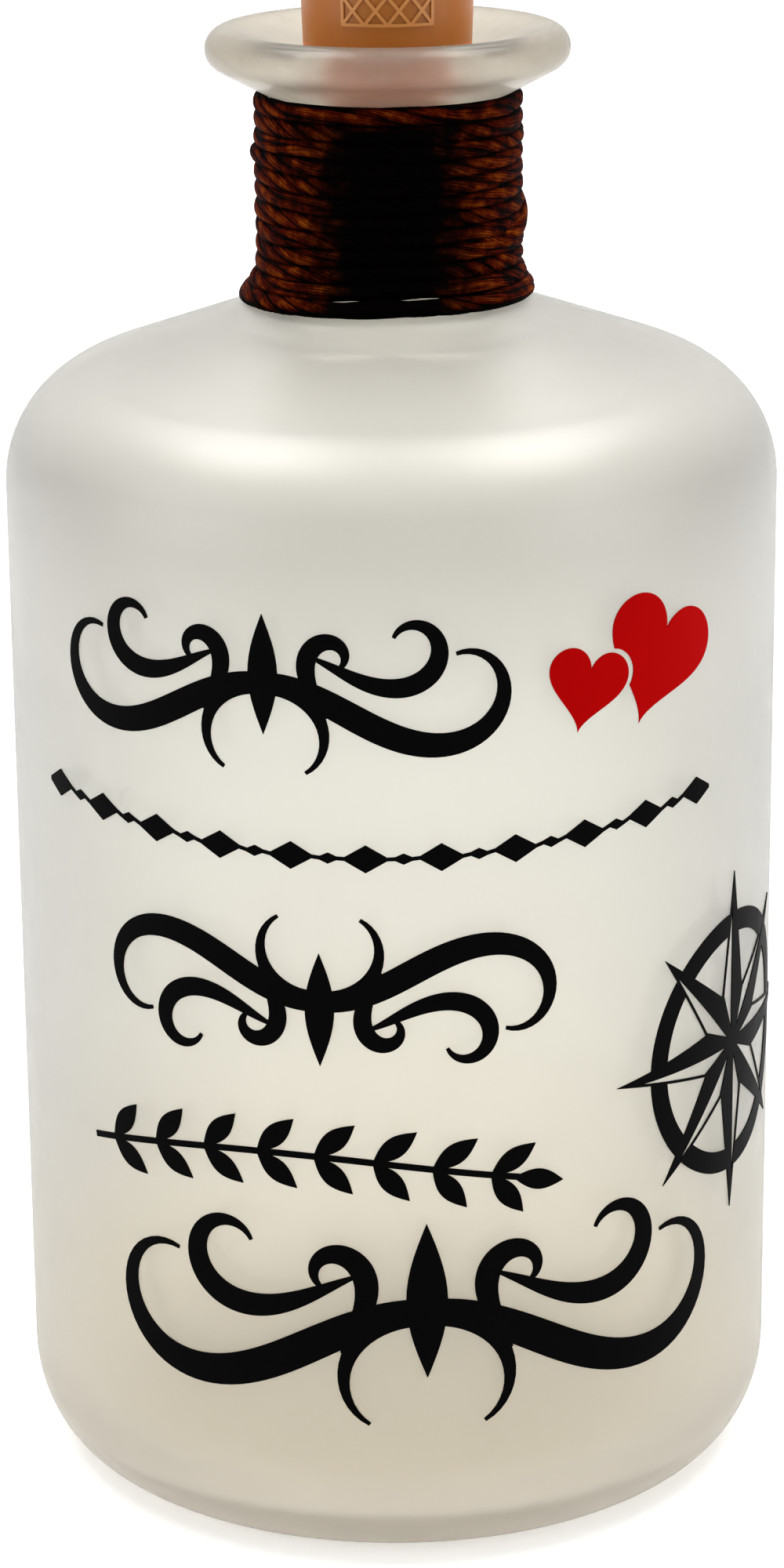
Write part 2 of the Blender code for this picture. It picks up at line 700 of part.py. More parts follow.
def build_cap(bottle, stopper, material):
    hole = BUTTON_RADIUS + SEAT_GAP
    skirt_foot = stopper.cap_foot - SKIRT_LENGTH
    rim_radius = bottle.stopper_radius(stopper.cap_foot) + CAP_EXTRA_RADIUS
    top_radius = bottle.stopper_radius(stopper.cap_top) + CAP_EXTRA_RADIUS
    outline = [
        (CAP_ROOM_RADIUS, skirt_foot),
        (stopper.skirt_radius, skirt_foot),
        (stopper.skirt_radius, stopper.cap_foot),
        (rim_radius, stopper.cap_foot),
        (top_radius, stopper.cap_top - CAP_EDGE_CHAMFER),
        (top_radius - CAP_EDGE_CHAMFER, stopper.cap_top),
        (hole, stopper.cap_top),
        (hole, stopper.cap_ceiling),
        (CAP_ROOM_RADIUS, stopper.cap_ceiling),
    ]
    cap = turned("stopper_cap", outline, STOPPER_SEGMENTS, material)
    post_foot = stopper.board_top + SEAT_GAP
    post_radius = SCREW_RADIUS + SEAT_GAP + POST_WALL
    post_top = stopper.cap_ceiling + CAP_TOP_WALL / 2
    posts = pins("cap_posts_guide", post_radius, post_foot, post_top, material)
    boolean(cap, posts, "UNION")
    pilot_top = stopper.board - SEAT_GAP + SCREW_LENGTH + SEAT_GAP
    pilots = pins(
        "cap_pilot_cutter",
        SCREW_RADIUS + SEAT_GAP,
        post_foot - CUT_OVERRUN,
        pilot_top,
        material,
    )
    boolean(cap, pilots, "DIFFERENCE")
    return cap


def build_button(stopper, material):
    flange_radius = BUTTON_RADIUS + BUTTON_FLANGE_WIDTH
    top = stopper.cap_top + BUTTON_STAND
    outline = [
        (0.0, stopper.button_foot),
        (BUTTON_STEM_RADIUS, stopper.button_foot),
        (BUTTON_STEM_RADIUS, stopper.flange_foot),
        (flange_radius, stopper.flange_foot),
        (flange_radius, stopper.flange_top),
        (BUTTON_RADIUS, stopper.flange_top),
        (BUTTON_RADIUS, top - BUTTON_EDGE_CHAMFER),
        (BUTTON_RADIUS - BUTTON_EDGE_CHAMFER, top),
        (0.0, top),
    ]
    return turned("push_button", outline, SMALL_SEGMENTS, material)


def add_outline(bm, points):
    """A flat patch in the XZ plane from its outline of (across, up) points."""
    bm.faces.new([bm.verts.new((across, 0.0, up)) for across, up in points])


def add_stroke(bm, centreline, widths, closed=False):
    """A flat ribbon in the XZ plane, as wide at each point as widths says."""
    sides = []
    last = len(centreline) - 1
    for index, (across, up) in enumerate(centreline):
        if closed:
            before = centreline[index - 1]
            after = centreline[(index + 1) % len(centreline)]
        else:
            before = centreline[max(index - 1, 0)]
            after = centreline[min(index + 1, last)]
        along = Vector((after[0] - before[0], after[1] - before[1])).normalized()
        half = widths[index] / 2
        left = bm.verts.new((across - along.y * half, 0.0, up + along.x * half))
        right = bm.verts.new((across + along.y * half, 0.0, up - along.x * half))
        sides.append((left, right))
    following = sides[1:] + sides[:1] if closed else sides[1:]
    for (left, right), (next_left, next_right) in zip(sides, following):
        bm.faces.new((left, right, next_right, next_left))


def flat_object(bm, thickness):
    """Flat patches given their thickness, each a closed solid."""
    grown = bmesh.ops.extrude_face_region(bm, geom=bm.faces[:])
    moved = [item for item in grown["geom"] if isinstance(item, bmesh.types.BMVert)]
    bmesh.ops.translate(bm, verts=moved, vec=(0.0, thickness, 0.0))
    bmesh.ops.recalc_face_normals(bm, faces=bm.faces)
    mesh = bpy.data.meshes.new("flat_film")
    bm.to_mesh(mesh)
    bm.free()
    piece = bpy.data.objects.new("flat_film", mesh)
    bpy.context.scene.collection.objects.link(piece)
    return piece


def film(name, body, joined, cut, material):
    """Patches joined flat in one sheet, cut, and bent round the glass."""
    sheet = flat_object(body, FILM_THICKNESS)
    helpers = []
    if joined is not None:
        helpers.append(flat_object(joined, FILM_THICKNESS))
        union = sheet.modifiers.new("union", "BOOLEAN")
        union.operation = "UNION"
        union.use_self = True
        union.object = helpers[-1]
    if cut is not None:
        cutter = flat_object(cut, FILM_THICKNESS + 2 * SEAT_GAP)
        cutter.data.transform(Matrix.Translation((0.0, -SEAT_GAP, 0.0)))
        helpers.append(cutter)
        difference = sheet.modifiers.new("difference", "BOOLEAN")
        difference.operation = "DIFFERENCE"
        difference.object = cutter
    depsgraph = bpy.context.evaluated_depsgraph_get()
    flat = bpy.data.meshes.new_from_object(sheet.evaluated_get(depsgraph))
    for piece in [sheet] + helpers:
        bpy.data.objects.remove(piece, do_unlink=True)
    bm = bmesh.new()
    bm.from_mesh(flat)
    bpy.data.meshes.remove(flat)
    bend_film(bm)
    return finish_mesh(name, bm, material)


def bend_film(bm):
    """Cut a flat sheet in upright strips, and bend it round the glass."""
    bmesh.ops.triangulate(bm, faces=bm.faces[:])
    low = math.floor(min(vert.co.x for vert in bm.verts) / FILM_FACET)
    high = math.ceil(max(vert.co.x for vert in bm.verts) / FILM_FACET)
    for index in range(low, high + 1):
        bmesh.ops.bisect_plane(
            bm,
            geom=bm.verts[:] + bm.edges[:] + bm.faces[:],
            dist=MERGE_DISTANCE,
            plane_co=(index * FILM_FACET, 0.0, 0.0),
            plane_no=(1.0, 0.0, 0.0),
        )
    inner_radius = BODY_RADIUS + SEAT_GAP
    for vert in bm.verts:
        angle = vert.co.x / BODY_RADIUS
        radius = inner_radius + vert.co.y
        vert.co = (radius * math.sin(angle), -radius * math.cos(angle), vert.co.z)


def place_points(points, place, tilt_deg=0.0):
    tilt = math.radians(tilt_deg)
    placed = []
    for across, up in points:
        turned_across = across * math.cos(tilt) - up * math.sin(tilt)
        turned_up = across * math.sin(tilt) + up * math.cos(tilt)
        placed.append((place[0] + turned_across, place[1] + turned_up))
    return placed


def heart_points(width):
    """The usual heart curve, 32 units wide, scaled to this width."""
    unit = width / 32
    points = []
    for step in range(HEART_POINTS):
        turn = math.tau * step / HEART_POINTS
        across = 16 * math.sin(turn) ** 3
        up = 13 * math.cos(turn) - 5 * math.cos(2 * turn) - 2 * math.cos(3 * turn)
        up -= math.cos(4 * turn)
        points.append((across * unit, up * unit))
    return points


def build_hearts(material):
    small = bmesh.new()
    small_heart = heart_points(SMALL_HEART_WIDTH)
    add_outline(small, place_points(small_heart, SMALL_HEART_PLACE, SMALL_HEART_TILT_DEG))
    film("vinyl_heart_small", small, None, None, material)
    large = bmesh.new()
    large_heart = heart_points(LARGE_HEART_WIDTH)
    add_outline(large, place_points(large_heart, LARGE_HEART_PLACE, LARGE_HEART_TILT_DEG))
    gap = bmesh.new()
    widened = heart_points(SMALL_HEART_WIDTH + 2 * FILM_CUT_GAP)
    add_outline(gap, place_points(widened, SMALL_HEART_PLACE, SMALL_HEART_TILT_DEG))
    film("vinyl_heart_large", large, None, gap, material)


def compass_corner(index, radius):
    """A place at this distance from the compass's centre; even indexes point along its points."""
    angle = index * math.pi / COMPASS_POINTS
    across = COMPASS_PLACE[0] + radius * math.sin(angle)
    return (across, COMPASS_PLACE[1] + radius * math.cos(angle))


def shrink_corners(corners, margin):
    """A triangle moved inwards by margin on each side."""
    points = [Vector(corner) for corner in corners]
    sides = [(points[index] - points[index - 1]).length for index in range(3)]
    opposite = [sides[2], sides[0], sides[1]]
    around = sum(sides)
    centre = sum((point * side for point, side in zip(points, opposite)), Vector((0.0, 0.0)))
    centre /= around
    area = abs((points[1] - points[0]).cross(points[2] - points[0])) / 2
    inner_radius = 2 * area / around
    kept = max(1 - margin / inner_radius, 0.0)
    return [tuple(centre + (point - centre) * kept) for point in points]


def build_compass(material):
    """A ring under an eight-pointed star, with one side of each point left bare."""
    star = bmesh.new()
    corners = []
    bare = bmesh.new()
    for point in range(COMPASS_POINTS):
        reach = COMPASS_LONG_POINT if point % 2 == 0 else COMPASS_SHORT_POINT
        tip = compass_corner(2 * point, reach)
        bare_waist = compass_corner(2 * point - 1, COMPASS_WAIST)
        corners += [bare_waist, tip]
        add_outline(bare, shrink_corners([COMPASS_PLACE, bare_waist, tip], COMPASS_LINE_WIDTH))
    add_outline(star, corners)
    ring = bmesh.new()
    middle = COMPASS_RING_RADIUS - COMPASS_RING_WIDTH / 2
    line = [
        compass_corner(2 * COMPASS_POINTS * step / COMPASS_RING_STEPS, middle)
        for step in range(COMPASS_RING_STEPS)
    ]
    add_stroke(ring, line, [COMPASS_RING_WIDTH] * len(line), closed=True)
    return film("vinyl_compass", star, ring, bare, material)


def curl(middle, heading_deg, length, start_bend_deg, end_bend_deg):
    """A line whose bend changes evenly along it, so that it curls up at its ends.

    It is walked both ways from its middle, where its place and heading are given.
    """

    def turn_deg(share):
        return start_bend_deg * share + (end_bend_deg - start_bend_deg) * share**2 / 2

    stride = length / FLOURISH_STEPS
    halves = []
    for direction in (-1, 1):
        point = Vector(middle)
        half = [point]
        for step in range(FLOURISH_STEPS // 2):
            share = 1 / 2 + direction * (step + 1 / 2) / FLOURISH_STEPS
            heading = math.radians(heading_deg + turn_deg(share) - turn_deg(1 / 2))
            along = Vector((math.cos(heading), math.sin(heading)))
            point = point + along * stride * direction
            half.append(point)
        halves.append(half)
    return halves[0][:0:-1] + halves[1]


def leaf_points(length, width):
    """A pointed leaf along +X from the origin."""
    steps = 3
    upper = []
    for step in range(1, steps):
        share = step / steps
        upper.append((length * share, width / 2 * math.sin(math.pi * share)))
    lower = [(across, -up) for across, up in reversed(upper)]
    return [(0.0, 0.0)] + upper + [(length, 0.0)] + lower


def build_flourish(name, place, width, upright, material):
    """Mirrored scrolls round a leaf; upright is 1, or -1 to hang the flourish head down."""
    strokes = bmesh.new()
    for side in (1.0, -1.0):
        for across, up, heading, length, start_bend, end_bend, weight in FLOURISH_STROKE_SHARES:
            line = curl((across * width, up * width), heading, length * width, start_bend, end_bend)
            widths = []
            for step in range(len(line)):
                swell = math.sin(math.pi * step / (len(line) - 1))
                widths.append(FLOURISH_HAIRLINE + weight * width * swell)
            placed = [(place[0] + side * point.x, place[1] + upright * point.y) for point in line]
            add_stroke(strokes, placed, widths)
    leaf_length, leaf_width, leaf_drop = (share * width for share in FLOURISH_LEAF_SHARES)
    leaf = bmesh.new()
    foot = (place[0], place[1] - upright * leaf_drop)
    add_outline(leaf, place_points(leaf_points(leaf_length, leaf_width), foot, upright * 90.0))
    return film(name, leaf, strokes, None, material)


def build_lozenge_chain(material):
    """Lozenges, large and small in turn, threaded on a hanging hairline."""
    chain = bmesh.new()
    line = []
    widths = []
    last = 2 * (CHAIN_LOZENGES - 1)
    for index in range(last + 1):
        size_share = 1.0 if index % 2 == 0 else CHAIN_SMALL_SHARE
        across = CHAIN_START[0] + index * CHAIN_PITCH / 2
        up = CHAIN_START[1] - CHAIN_SAG * math.sin(math.pi * index / last)
        half_length = LOZENGE_LENGTH * size_share / 2
        line += [(across - half_length, up), (across, up), (across + half_length, up)]
        widths += [CHAIN_HAIRLINE, LOZENGE_HEIGHT * size_share, CHAIN_HAIRLINE]
    add_stroke(chain, line, widths)
    return film("vinyl_lozenge_chain", chain, None, None, material)


def build_sprig(material):
    """A bowed stem with leaves in pairs and one at its tip."""
    stem = bmesh.new()
    line = []
    for step in range(SPRIG_LEAF_PAIRS + 1):
        share = step / SPRIG_LEAF_PAIRS
        rise = SPRIG_RISE * math.sin(math.pi * share)
        line.append((SPRIG_START[0] + SPRIG_LENGTH * share, SPRIG_START[1] + rise))
    add_stroke(stem, line, [SPRIG_STEM_WIDTH] * len(line))
    leaves = bmesh.new()
    leaf = leaf_points(SPRIG_LEAF_LENGTH, SPRIG_LEAF_WIDTH)
    for (across, up), (next_across, next_up) in zip(line[:-1], line[1:]):
        slope_deg = math.degrees(math.atan2(next_up - up, next_across - across))
        foot = ((across + next_across) / 2, (up + next_up) / 2)
        for side in (1.0, -1.0):
            add_outline(leaves, place_points(leaf, foot, slope_deg + side * SPRIG_LEAF_SPREAD_DEG))
    tip = (line[-1][0] - SPRIG_STEM_WIDTH, line[-1][1])
    add_outline(leaves, place_points(leaf, tip, slope_deg))
    return film("vinyl_sprig", stem, leaves, None, material)


def build_vinyl(black, red):
    build_hearts(red)
    build_compass(black)
    build_flourish("vinyl_flourish_upper", UPPER_FLOURISH_PLACE, UPPER_FLOURISH_WIDTH, 1, black)
    build_flourish("vinyl_flourish_middle", MIDDLE_FLOURISH_PLACE, MIDDLE_FLOURISH_WIDTH, -1, black)
    build_flourish("vinyl_flourish_lower", LOWER_FLOURISH_PLACE, LOWER_FLOURISH_WIDTH, 1, black)
    build_lozenge_chain(black)
    build_sprig(black)


def main():
    clear_scene()
    frosted = make_material("frosted_glass", (0.80, 0.79, 0.74), 0.45, alpha=0.6)
    cord = make_material("waxed_cord", (0.075, 0.022, 0.006), 0.55)
    amber = make_material("amber_plastic", (0.45, 0.13, 0.02), 0.30)
    button = make_material("button_plastic", (0.80, 0.74, 0.62), 0.35)
    clear = make_material("clear_plastic", (0.90, 0.90, 0.88), 0.08, alpha=0.5)
    led = make_material("led_resin", (0.95, 0.85, 0.55), 0.10)
    steel = make_material("cell_steel", (0.62, 0.62, 0.60), 0.28, 1.0)
    spring = make_material("spring_steel", (0.50, 0.50, 0.50), 0.30, 1.0)
    brass = make_material("contact_brass", (0.72, 0.52, 0.22), 0.32, 1.0)
    tinned = make_material("tinned_wire", (0.70, 0.70, 0.68), 0.30, 1.0)
    card = make_material("sleeve_card", (0.75, 0.72, 0.62), 0.80)
    board = make_material("board_laminate", (0.03, 0.20, 0.08), 0.45)
    switch = make_material("switch_plastic", (0.03, 0.03, 0.03), 0.50)
    plunger = make_material("plunger_plastic", (0.60, 0.05, 0.04), 0.40)
    resistor = make_material("resistor_ceramic", (0.04, 0.04, 0.045), 0.50)
    screw = make_material("screw_steel", (0.55, 0.55, 0.54), 0.35, 1.0)
    black = make_material("black_vinyl", (0.008, 0.008, 0.009), 0.40)
    red = make_material("red_vinyl", (0.42, 0.005, 0.008), 0.35)
    bottle = BottleShape()
    stopper = StopperShape(bottle)
    build_bottle(bottle, frosted)
    build_cord(bottle, cord)
    build_stopper_shell(bottle, stopper, amber)
    build_lens(stopper, clear)
    build_led(stopper, led)
    build_led_leads(stopper, tinned)
    build_contact_plate(stopper, brass)
    build_return_strip(stopper, brass)
    build_cells(stopper, steel)
    build_sleeve(stopper, card)
    build_battery_spring(stopper, spring)
    build_board(stopper, board)
    build_board_screws(stopper, screw)
    build_switch(stopper, switch, plunger)
    build_resistor(stopper, resistor)
    build_cap(bottle, stopper, amber)
    build_button(stopper, button)
    build_vinyl(black, red)
    print(f"lip crest at {bottle.crest * 1000:.2f} mm, stopper foot at {stopper.foot * 1000:.2f} mm")
    print(f"stopper cap top at {stopper.cap_top * 1000:.2f} mm")


main()
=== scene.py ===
# %% [markdown]
# # A frosted glass bottle lamp
# The object is a satin glass bottle with a cord-wound neck, cut vinyl ornaments and an amber lamp
# stopper. Its engineering model is loaded first as a fixed frame. Each cell below then makes one
# piece or one finish, says what it is on the real object, and why it is made that way.

# %% Load the frame
import math

import bmesh
import bpy
from mathutils import Matrix, Vector


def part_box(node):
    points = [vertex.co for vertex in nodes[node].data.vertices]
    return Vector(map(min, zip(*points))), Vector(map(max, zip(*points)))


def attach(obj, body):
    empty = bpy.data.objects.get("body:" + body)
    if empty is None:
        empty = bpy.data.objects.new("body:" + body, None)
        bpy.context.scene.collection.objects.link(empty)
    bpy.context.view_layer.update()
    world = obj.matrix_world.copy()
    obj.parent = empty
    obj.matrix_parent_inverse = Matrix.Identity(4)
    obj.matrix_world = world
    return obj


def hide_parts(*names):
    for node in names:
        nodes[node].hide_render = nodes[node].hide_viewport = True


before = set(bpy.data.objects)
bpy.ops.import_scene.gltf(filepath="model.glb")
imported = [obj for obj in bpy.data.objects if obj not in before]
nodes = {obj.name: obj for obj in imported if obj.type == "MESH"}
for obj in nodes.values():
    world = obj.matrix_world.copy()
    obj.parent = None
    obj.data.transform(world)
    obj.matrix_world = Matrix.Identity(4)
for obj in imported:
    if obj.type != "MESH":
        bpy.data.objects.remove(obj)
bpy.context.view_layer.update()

# %% [markdown]
# ## Camera
# The camera stands about half a metre in front of the bottle and looks down on it by 17.6 degrees,
# which opens the ellipse of the lip and the curve of the foot. Its lens and distance were worked out
# together from the outline, because a close camera shows the shoulder wider than the base.

# %% Camera
CAMERA_PLACE = (0.0, -0.4658, 0.2236)
CAMERA_DOWN_DEG = 17.61
CAMERA_TURN_DEG = 0.03
CAMERA_ROLL_DEG = -0.52
CAMERA_LENS_MM = 66.91
SENSOR_HEIGHT_MM = 24.0
NEAREST_SEEN = 0.01

camera_data = bpy.data.cameras.new("front_camera")
camera_data.sensor_fit = "VERTICAL"
camera_data.sensor_height = SENSOR_HEIGHT_MM
camera_data.lens = CAMERA_LENS_MM
camera_data.clip_start = NEAREST_SEEN
camera = bpy.data.objects.new("front_camera", camera_data)
bpy.context.scene.collection.objects.link(camera)
camera.matrix_world = (
    Matrix.Translation(CAMERA_PLACE)
    @ Matrix.Rotation(math.radians(CAMERA_TURN_DEG), 4, "Z")
    @ Matrix.Rotation(math.radians(90.0 - CAMERA_DOWN_DEG), 4, "X")
    @ Matrix.Rotation(math.radians(CAMERA_ROLL_DEG), 4, "Z")
)
bpy.context.scene.camera = camera
bpy.context.scene.view_settings.view_transform = "Standard"
print("camera:", CAMERA_PLACE, "looks down by", CAMERA_DOWN_DEG, "degrees")

# %% [markdown]
# ## Light, floor and backdrop
# Satin glass shows its form by wide, soft light and not by sharp reflections. Two large soft boxes
# stand left and right of the bottle, and two more hang over its shoulders. Two small ones high at the
# back shine on the slope of the shoulder, on both sides of the cord's dark reflection. The world is
# white where the camera, a reflection or the glass looks at it, and dimmer where it lights the object.
# The floor glows a little for the same looks, and least near the bottle, so that its shadow stays.

# %% Light helpers
def make_nodes(owner):
    """An empty node tree on a material or a world."""
    owner.use_nodes = True
    owner.node_tree.nodes.clear()
    return owner.node_tree


def add_node(tree, kind, values=(), **settings):
    """A node with its settings, and its unlinked sockets set by name or number."""
    made = tree.nodes.new(kind)
    for name, value in settings.items():
        setattr(made, name, value)
    for socket, value in dict(values).items():
        made.inputs[socket].default_value = value
    return made


def calculate(tree, operation, *terms):
    """The result of a Math node; each term is a number or the output of another node."""
    made = add_node(tree, "ShaderNodeMath", operation=operation)
    for slot, term in enumerate(terms):
        if isinstance(term, float):
            made.inputs[slot].default_value = term
        else:
            tree.links.new(term, made.inputs[slot])
    return made.outputs[0]


def seen_share(tree):
    """1 where a camera, glossy or transmission ray looks, and 0 for the rays that light things."""
    looks = add_node(tree, "ShaderNodeLightPath").outputs
    straight = calculate(tree, "MAXIMUM", looks["Is Camera Ray"], looks["Is Glossy Ray"])
    return calculate(tree, "MAXIMUM", straight, looks["Is Transmission Ray"])


# %% World
WHITE = (1.0, 1.0, 1.0, 1.0)
WORLD_LIGHT = 0.31
WORLD_SEEN = 1.0

world = bpy.data.worlds.new("white_room")
bpy.context.scene.world = world
tree = make_nodes(world)
lighting = add_node(tree, "ShaderNodeBackground", {"Color": WHITE, "Strength": WORLD_LIGHT})
seen = add_node(tree, "ShaderNodeBackground", {"Color": WHITE, "Strength": WORLD_SEEN})
choice = add_node(tree, "ShaderNodeMixShader")
output = add_node(tree, "ShaderNodeOutputWorld")
tree.links.new(seen_share(tree), choice.inputs[0])
tree.links.new(lighting.outputs[0], choice.inputs[1])
tree.links.new(seen.outputs[0], choice.inputs[2])
tree.links.new(choice.outputs[0], output.inputs[0])
print("world: lights at", WORLD_LIGHT, "and is seen at", WORLD_SEEN)

# %% Floor
FLOOR_SIZE = 8.0
FLOOR_GREY = (0.86, 0.86, 0.86, 1.0)
FLOOR_GLOW_NEAR = 0.40
FLOOR_GLOW_FAR = 0.76
GLOW_STARTS_AT = 0.10
GLOW_FULL_AT = 0.90

bm = bmesh.new()
bmesh.ops.create_grid(bm, x_segments=1, y_segments=1, size=FLOOR_SIZE / 2)
mesh = bpy.data.meshes.new("floor")
bm.to_mesh(mesh)
bm.free()
floor = bpy.data.objects.new("floor", mesh)
bpy.context.scene.collection.objects.link(floor)
floor_paint = bpy.data.materials.new("floor_paint")
tree = make_nodes(floor_paint)
matte = add_node(tree, "ShaderNodeBsdfDiffuse", {"Color": FLOOR_GREY})
glow = add_node(tree, "ShaderNodeEmission", {"Color": WHITE})
place = add_node(tree, "ShaderNodeTexCoord")
distance = add_node(tree, "ShaderNodeVectorMath", operation="LENGTH")
reach = {"From Min": GLOW_STARTS_AT, "From Max": GLOW_FULL_AT}
level = {"To Min": FLOOR_GLOW_NEAR, "To Max": FLOOR_GLOW_FAR}
rise = add_node(tree, "ShaderNodeMapRange", {**reach, **level})
both = add_node(tree, "ShaderNodeAddShader")
output = add_node(tree, "ShaderNodeOutputMaterial")
tree.links.new(place.outputs["Object"], distance.inputs[0])
tree.links.new(distance.outputs["Value"], rise.inputs["Value"])
tree.links.new(calculate(tree, "MULTIPLY", seen_share(tree), rise.outputs[0]), glow.inputs["Strength"])
tree.links.new(matte.outputs[0], both.inputs[0])
tree.links.new(glow.outputs[0], both.inputs[1])
tree.links.new(both.outputs[0], output.inputs[0])
floor.data.materials.append(floor_paint)
print(f"floor: {FLOOR_SIZE} m square, glow {FLOOR_GLOW_NEAR} near and {FLOOR_GLOW_FAR} far off")


# %% Soft boxes
def add_soft_box(name, place, target, size, power):
    """A rectangle of light of a size in metres and a power in watts, turned to its target."""
    light = bpy.data.lights.new(name, "AREA")
    light.shape = "RECTANGLE"
    light.size, light.size_y = size
    light.energy = power
    lamp = bpy.data.objects.new(name, light)
    bpy.context.scene.collection.objects.link(lamp)
    turned = (Vector(target) - Vector(place)).to_track_quat("-Z", "Y")
    lamp.matrix_world = Matrix.Translation(place) @ turned.to_matrix().to_4x4()
    print(f"soft box {name}: {power} W")


add_soft_box("left_side", (-0.60, -0.30, 0.26), (0.0, 0.0, 0.08), (0.60, 0.60), 1.9)
add_soft_box("right_side", (0.60, -0.30, 0.26), (0.0, 0.0, 0.08), (0.60, 0.60), 1.9)
add_soft_box("left_high", (-0.34, 0.06, 0.88), (0.0, 0.0, 0.10), (0.52, 0.40), 4.7)
add_soft_box("right_high", (0.34, 0.06, 0.88), (0.0, 0.0, 0.10), (0.52, 0.40), 4.8)
add_soft_box("left_back", (-0.17, 0.52, 0.78), (0.0, 0.0, 0.12), (0.18, 0.24), 0.50)
add_soft_box("right_back", (0.17, 0.52, 0.78), (0.0, 0.0, 0.12), (0.18, 0.24), 0.66)

# %% [markdown]
# ## Helpers for pieces
# Every new piece is drawn as an outline and spun, or bent round the glass, with its place in its mesh.
# A pen object keeps the last corner of an outline: its arcs are spins of one vertex, so a rounded
# corner is a true arc. The finished outline is spun about the bottle's axis.

# %% Finishing a piece
SLIVER = 1e-6
DOUBLE = 2e-6
FINE_DOUBLE = 1e-7


def finish_piece(name, bm, body, material, slot_name, stands_for=(), smooth_deg=40.0, merge=DOUBLE):
    """Merge doubles, point the faces outwards and hand the piece to its body."""
    bmesh.ops.remove_doubles(bm, verts=bm.verts[:], dist=merge)
    bmesh.ops.dissolve_degenerate(bm, edges=bm.edges[:], dist=SLIVER)
    bmesh.ops.recalc_face_normals(bm, faces=bm.faces[:])
    mesh = bpy.data.meshes.new(name)
    bm.to_mesh(mesh)
    bm.free()
    mesh.shade_smooth()
    mesh.set_sharp_from_angle(angle=math.radians(smooth_deg))
    mesh.materials.clear()
    mesh.materials.append(material)
    piece = bpy.data.objects.new(name, mesh)
    bpy.context.scene.collection.objects.link(piece)
    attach(piece, body)
    if stands_for:
        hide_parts(*stands_for)
    print(f"{name}: {len(mesh.polygons)} faces")
    return piece


def as_bmesh(mesh):
    """The faces of a mesh that is no longer needed."""
    bm = bmesh.new()
    bm.from_mesh(mesh)
    bpy.data.meshes.remove(mesh)
    return bm


print(f"pieces: corners nearer than {DOUBLE * 1e6:.1f} microns are merged")


# %% A pen for outlines
class Pen:
    """Draws an outline in the plane of the bottle's axis: across is the radius, up the height."""

    def __init__(self, across, up):
        self.bm = bmesh.new()
        self.satin = self.bm.verts.layers.float.new("satin")
        self.tip = self.bm.verts.new((across, 0.0, up))

    def line(self, across, up):
        """A straight side from the tip to a new corner."""
        corner = self.bm.verts.new((across, 0.0, up))
        self.bm.edges.new((self.tip, corner))
        self.tip = corner

    def arc(self, centre, turn_deg, steps):
        """Turn the tip about a centre; a positive turn goes from across towards up."""
        made = bmesh.ops.spin(
            self.bm,
            geom=[self.tip],
            cent=(centre[0], 0.0, centre[1]),
            axis=(0.0, -1.0, 0.0),
            angle=math.radians(turn_deg),
            steps=steps,
        )
        self.tip = next(item for item in made["geom_last"] if isinstance(item, bmesh.types.BMVert))

    def spin(self, steps):
        """The solid of revolution of the outline, or of a wall that is open on the axis."""
        bmesh.ops.spin(
            self.bm,
            geom=self.bm.verts[:] + self.bm.edges[:],
            cent=(0.0, 0.0, 0.0),
            axis=(0.0, 0.0, 1.0),
            angle=math.tau,
            steps=steps,
            use_merge=True,
        )
        return self.bm


print("pen: lines and arcs")

# %% [markdown]
# ## A finish that drifts over the surface
# No real surface has one flat colour. One shader group serves nearly every material here: it takes a
# colour and a roughness, lets both drift with soft noise, and adds a fine grain as a height. Each
# material places it with its own values, so glass, plastic, vinyl and steel share the recipe and not
# the look.

# %% Drifting finish group
PATCHES_PER_METRE = 400.0


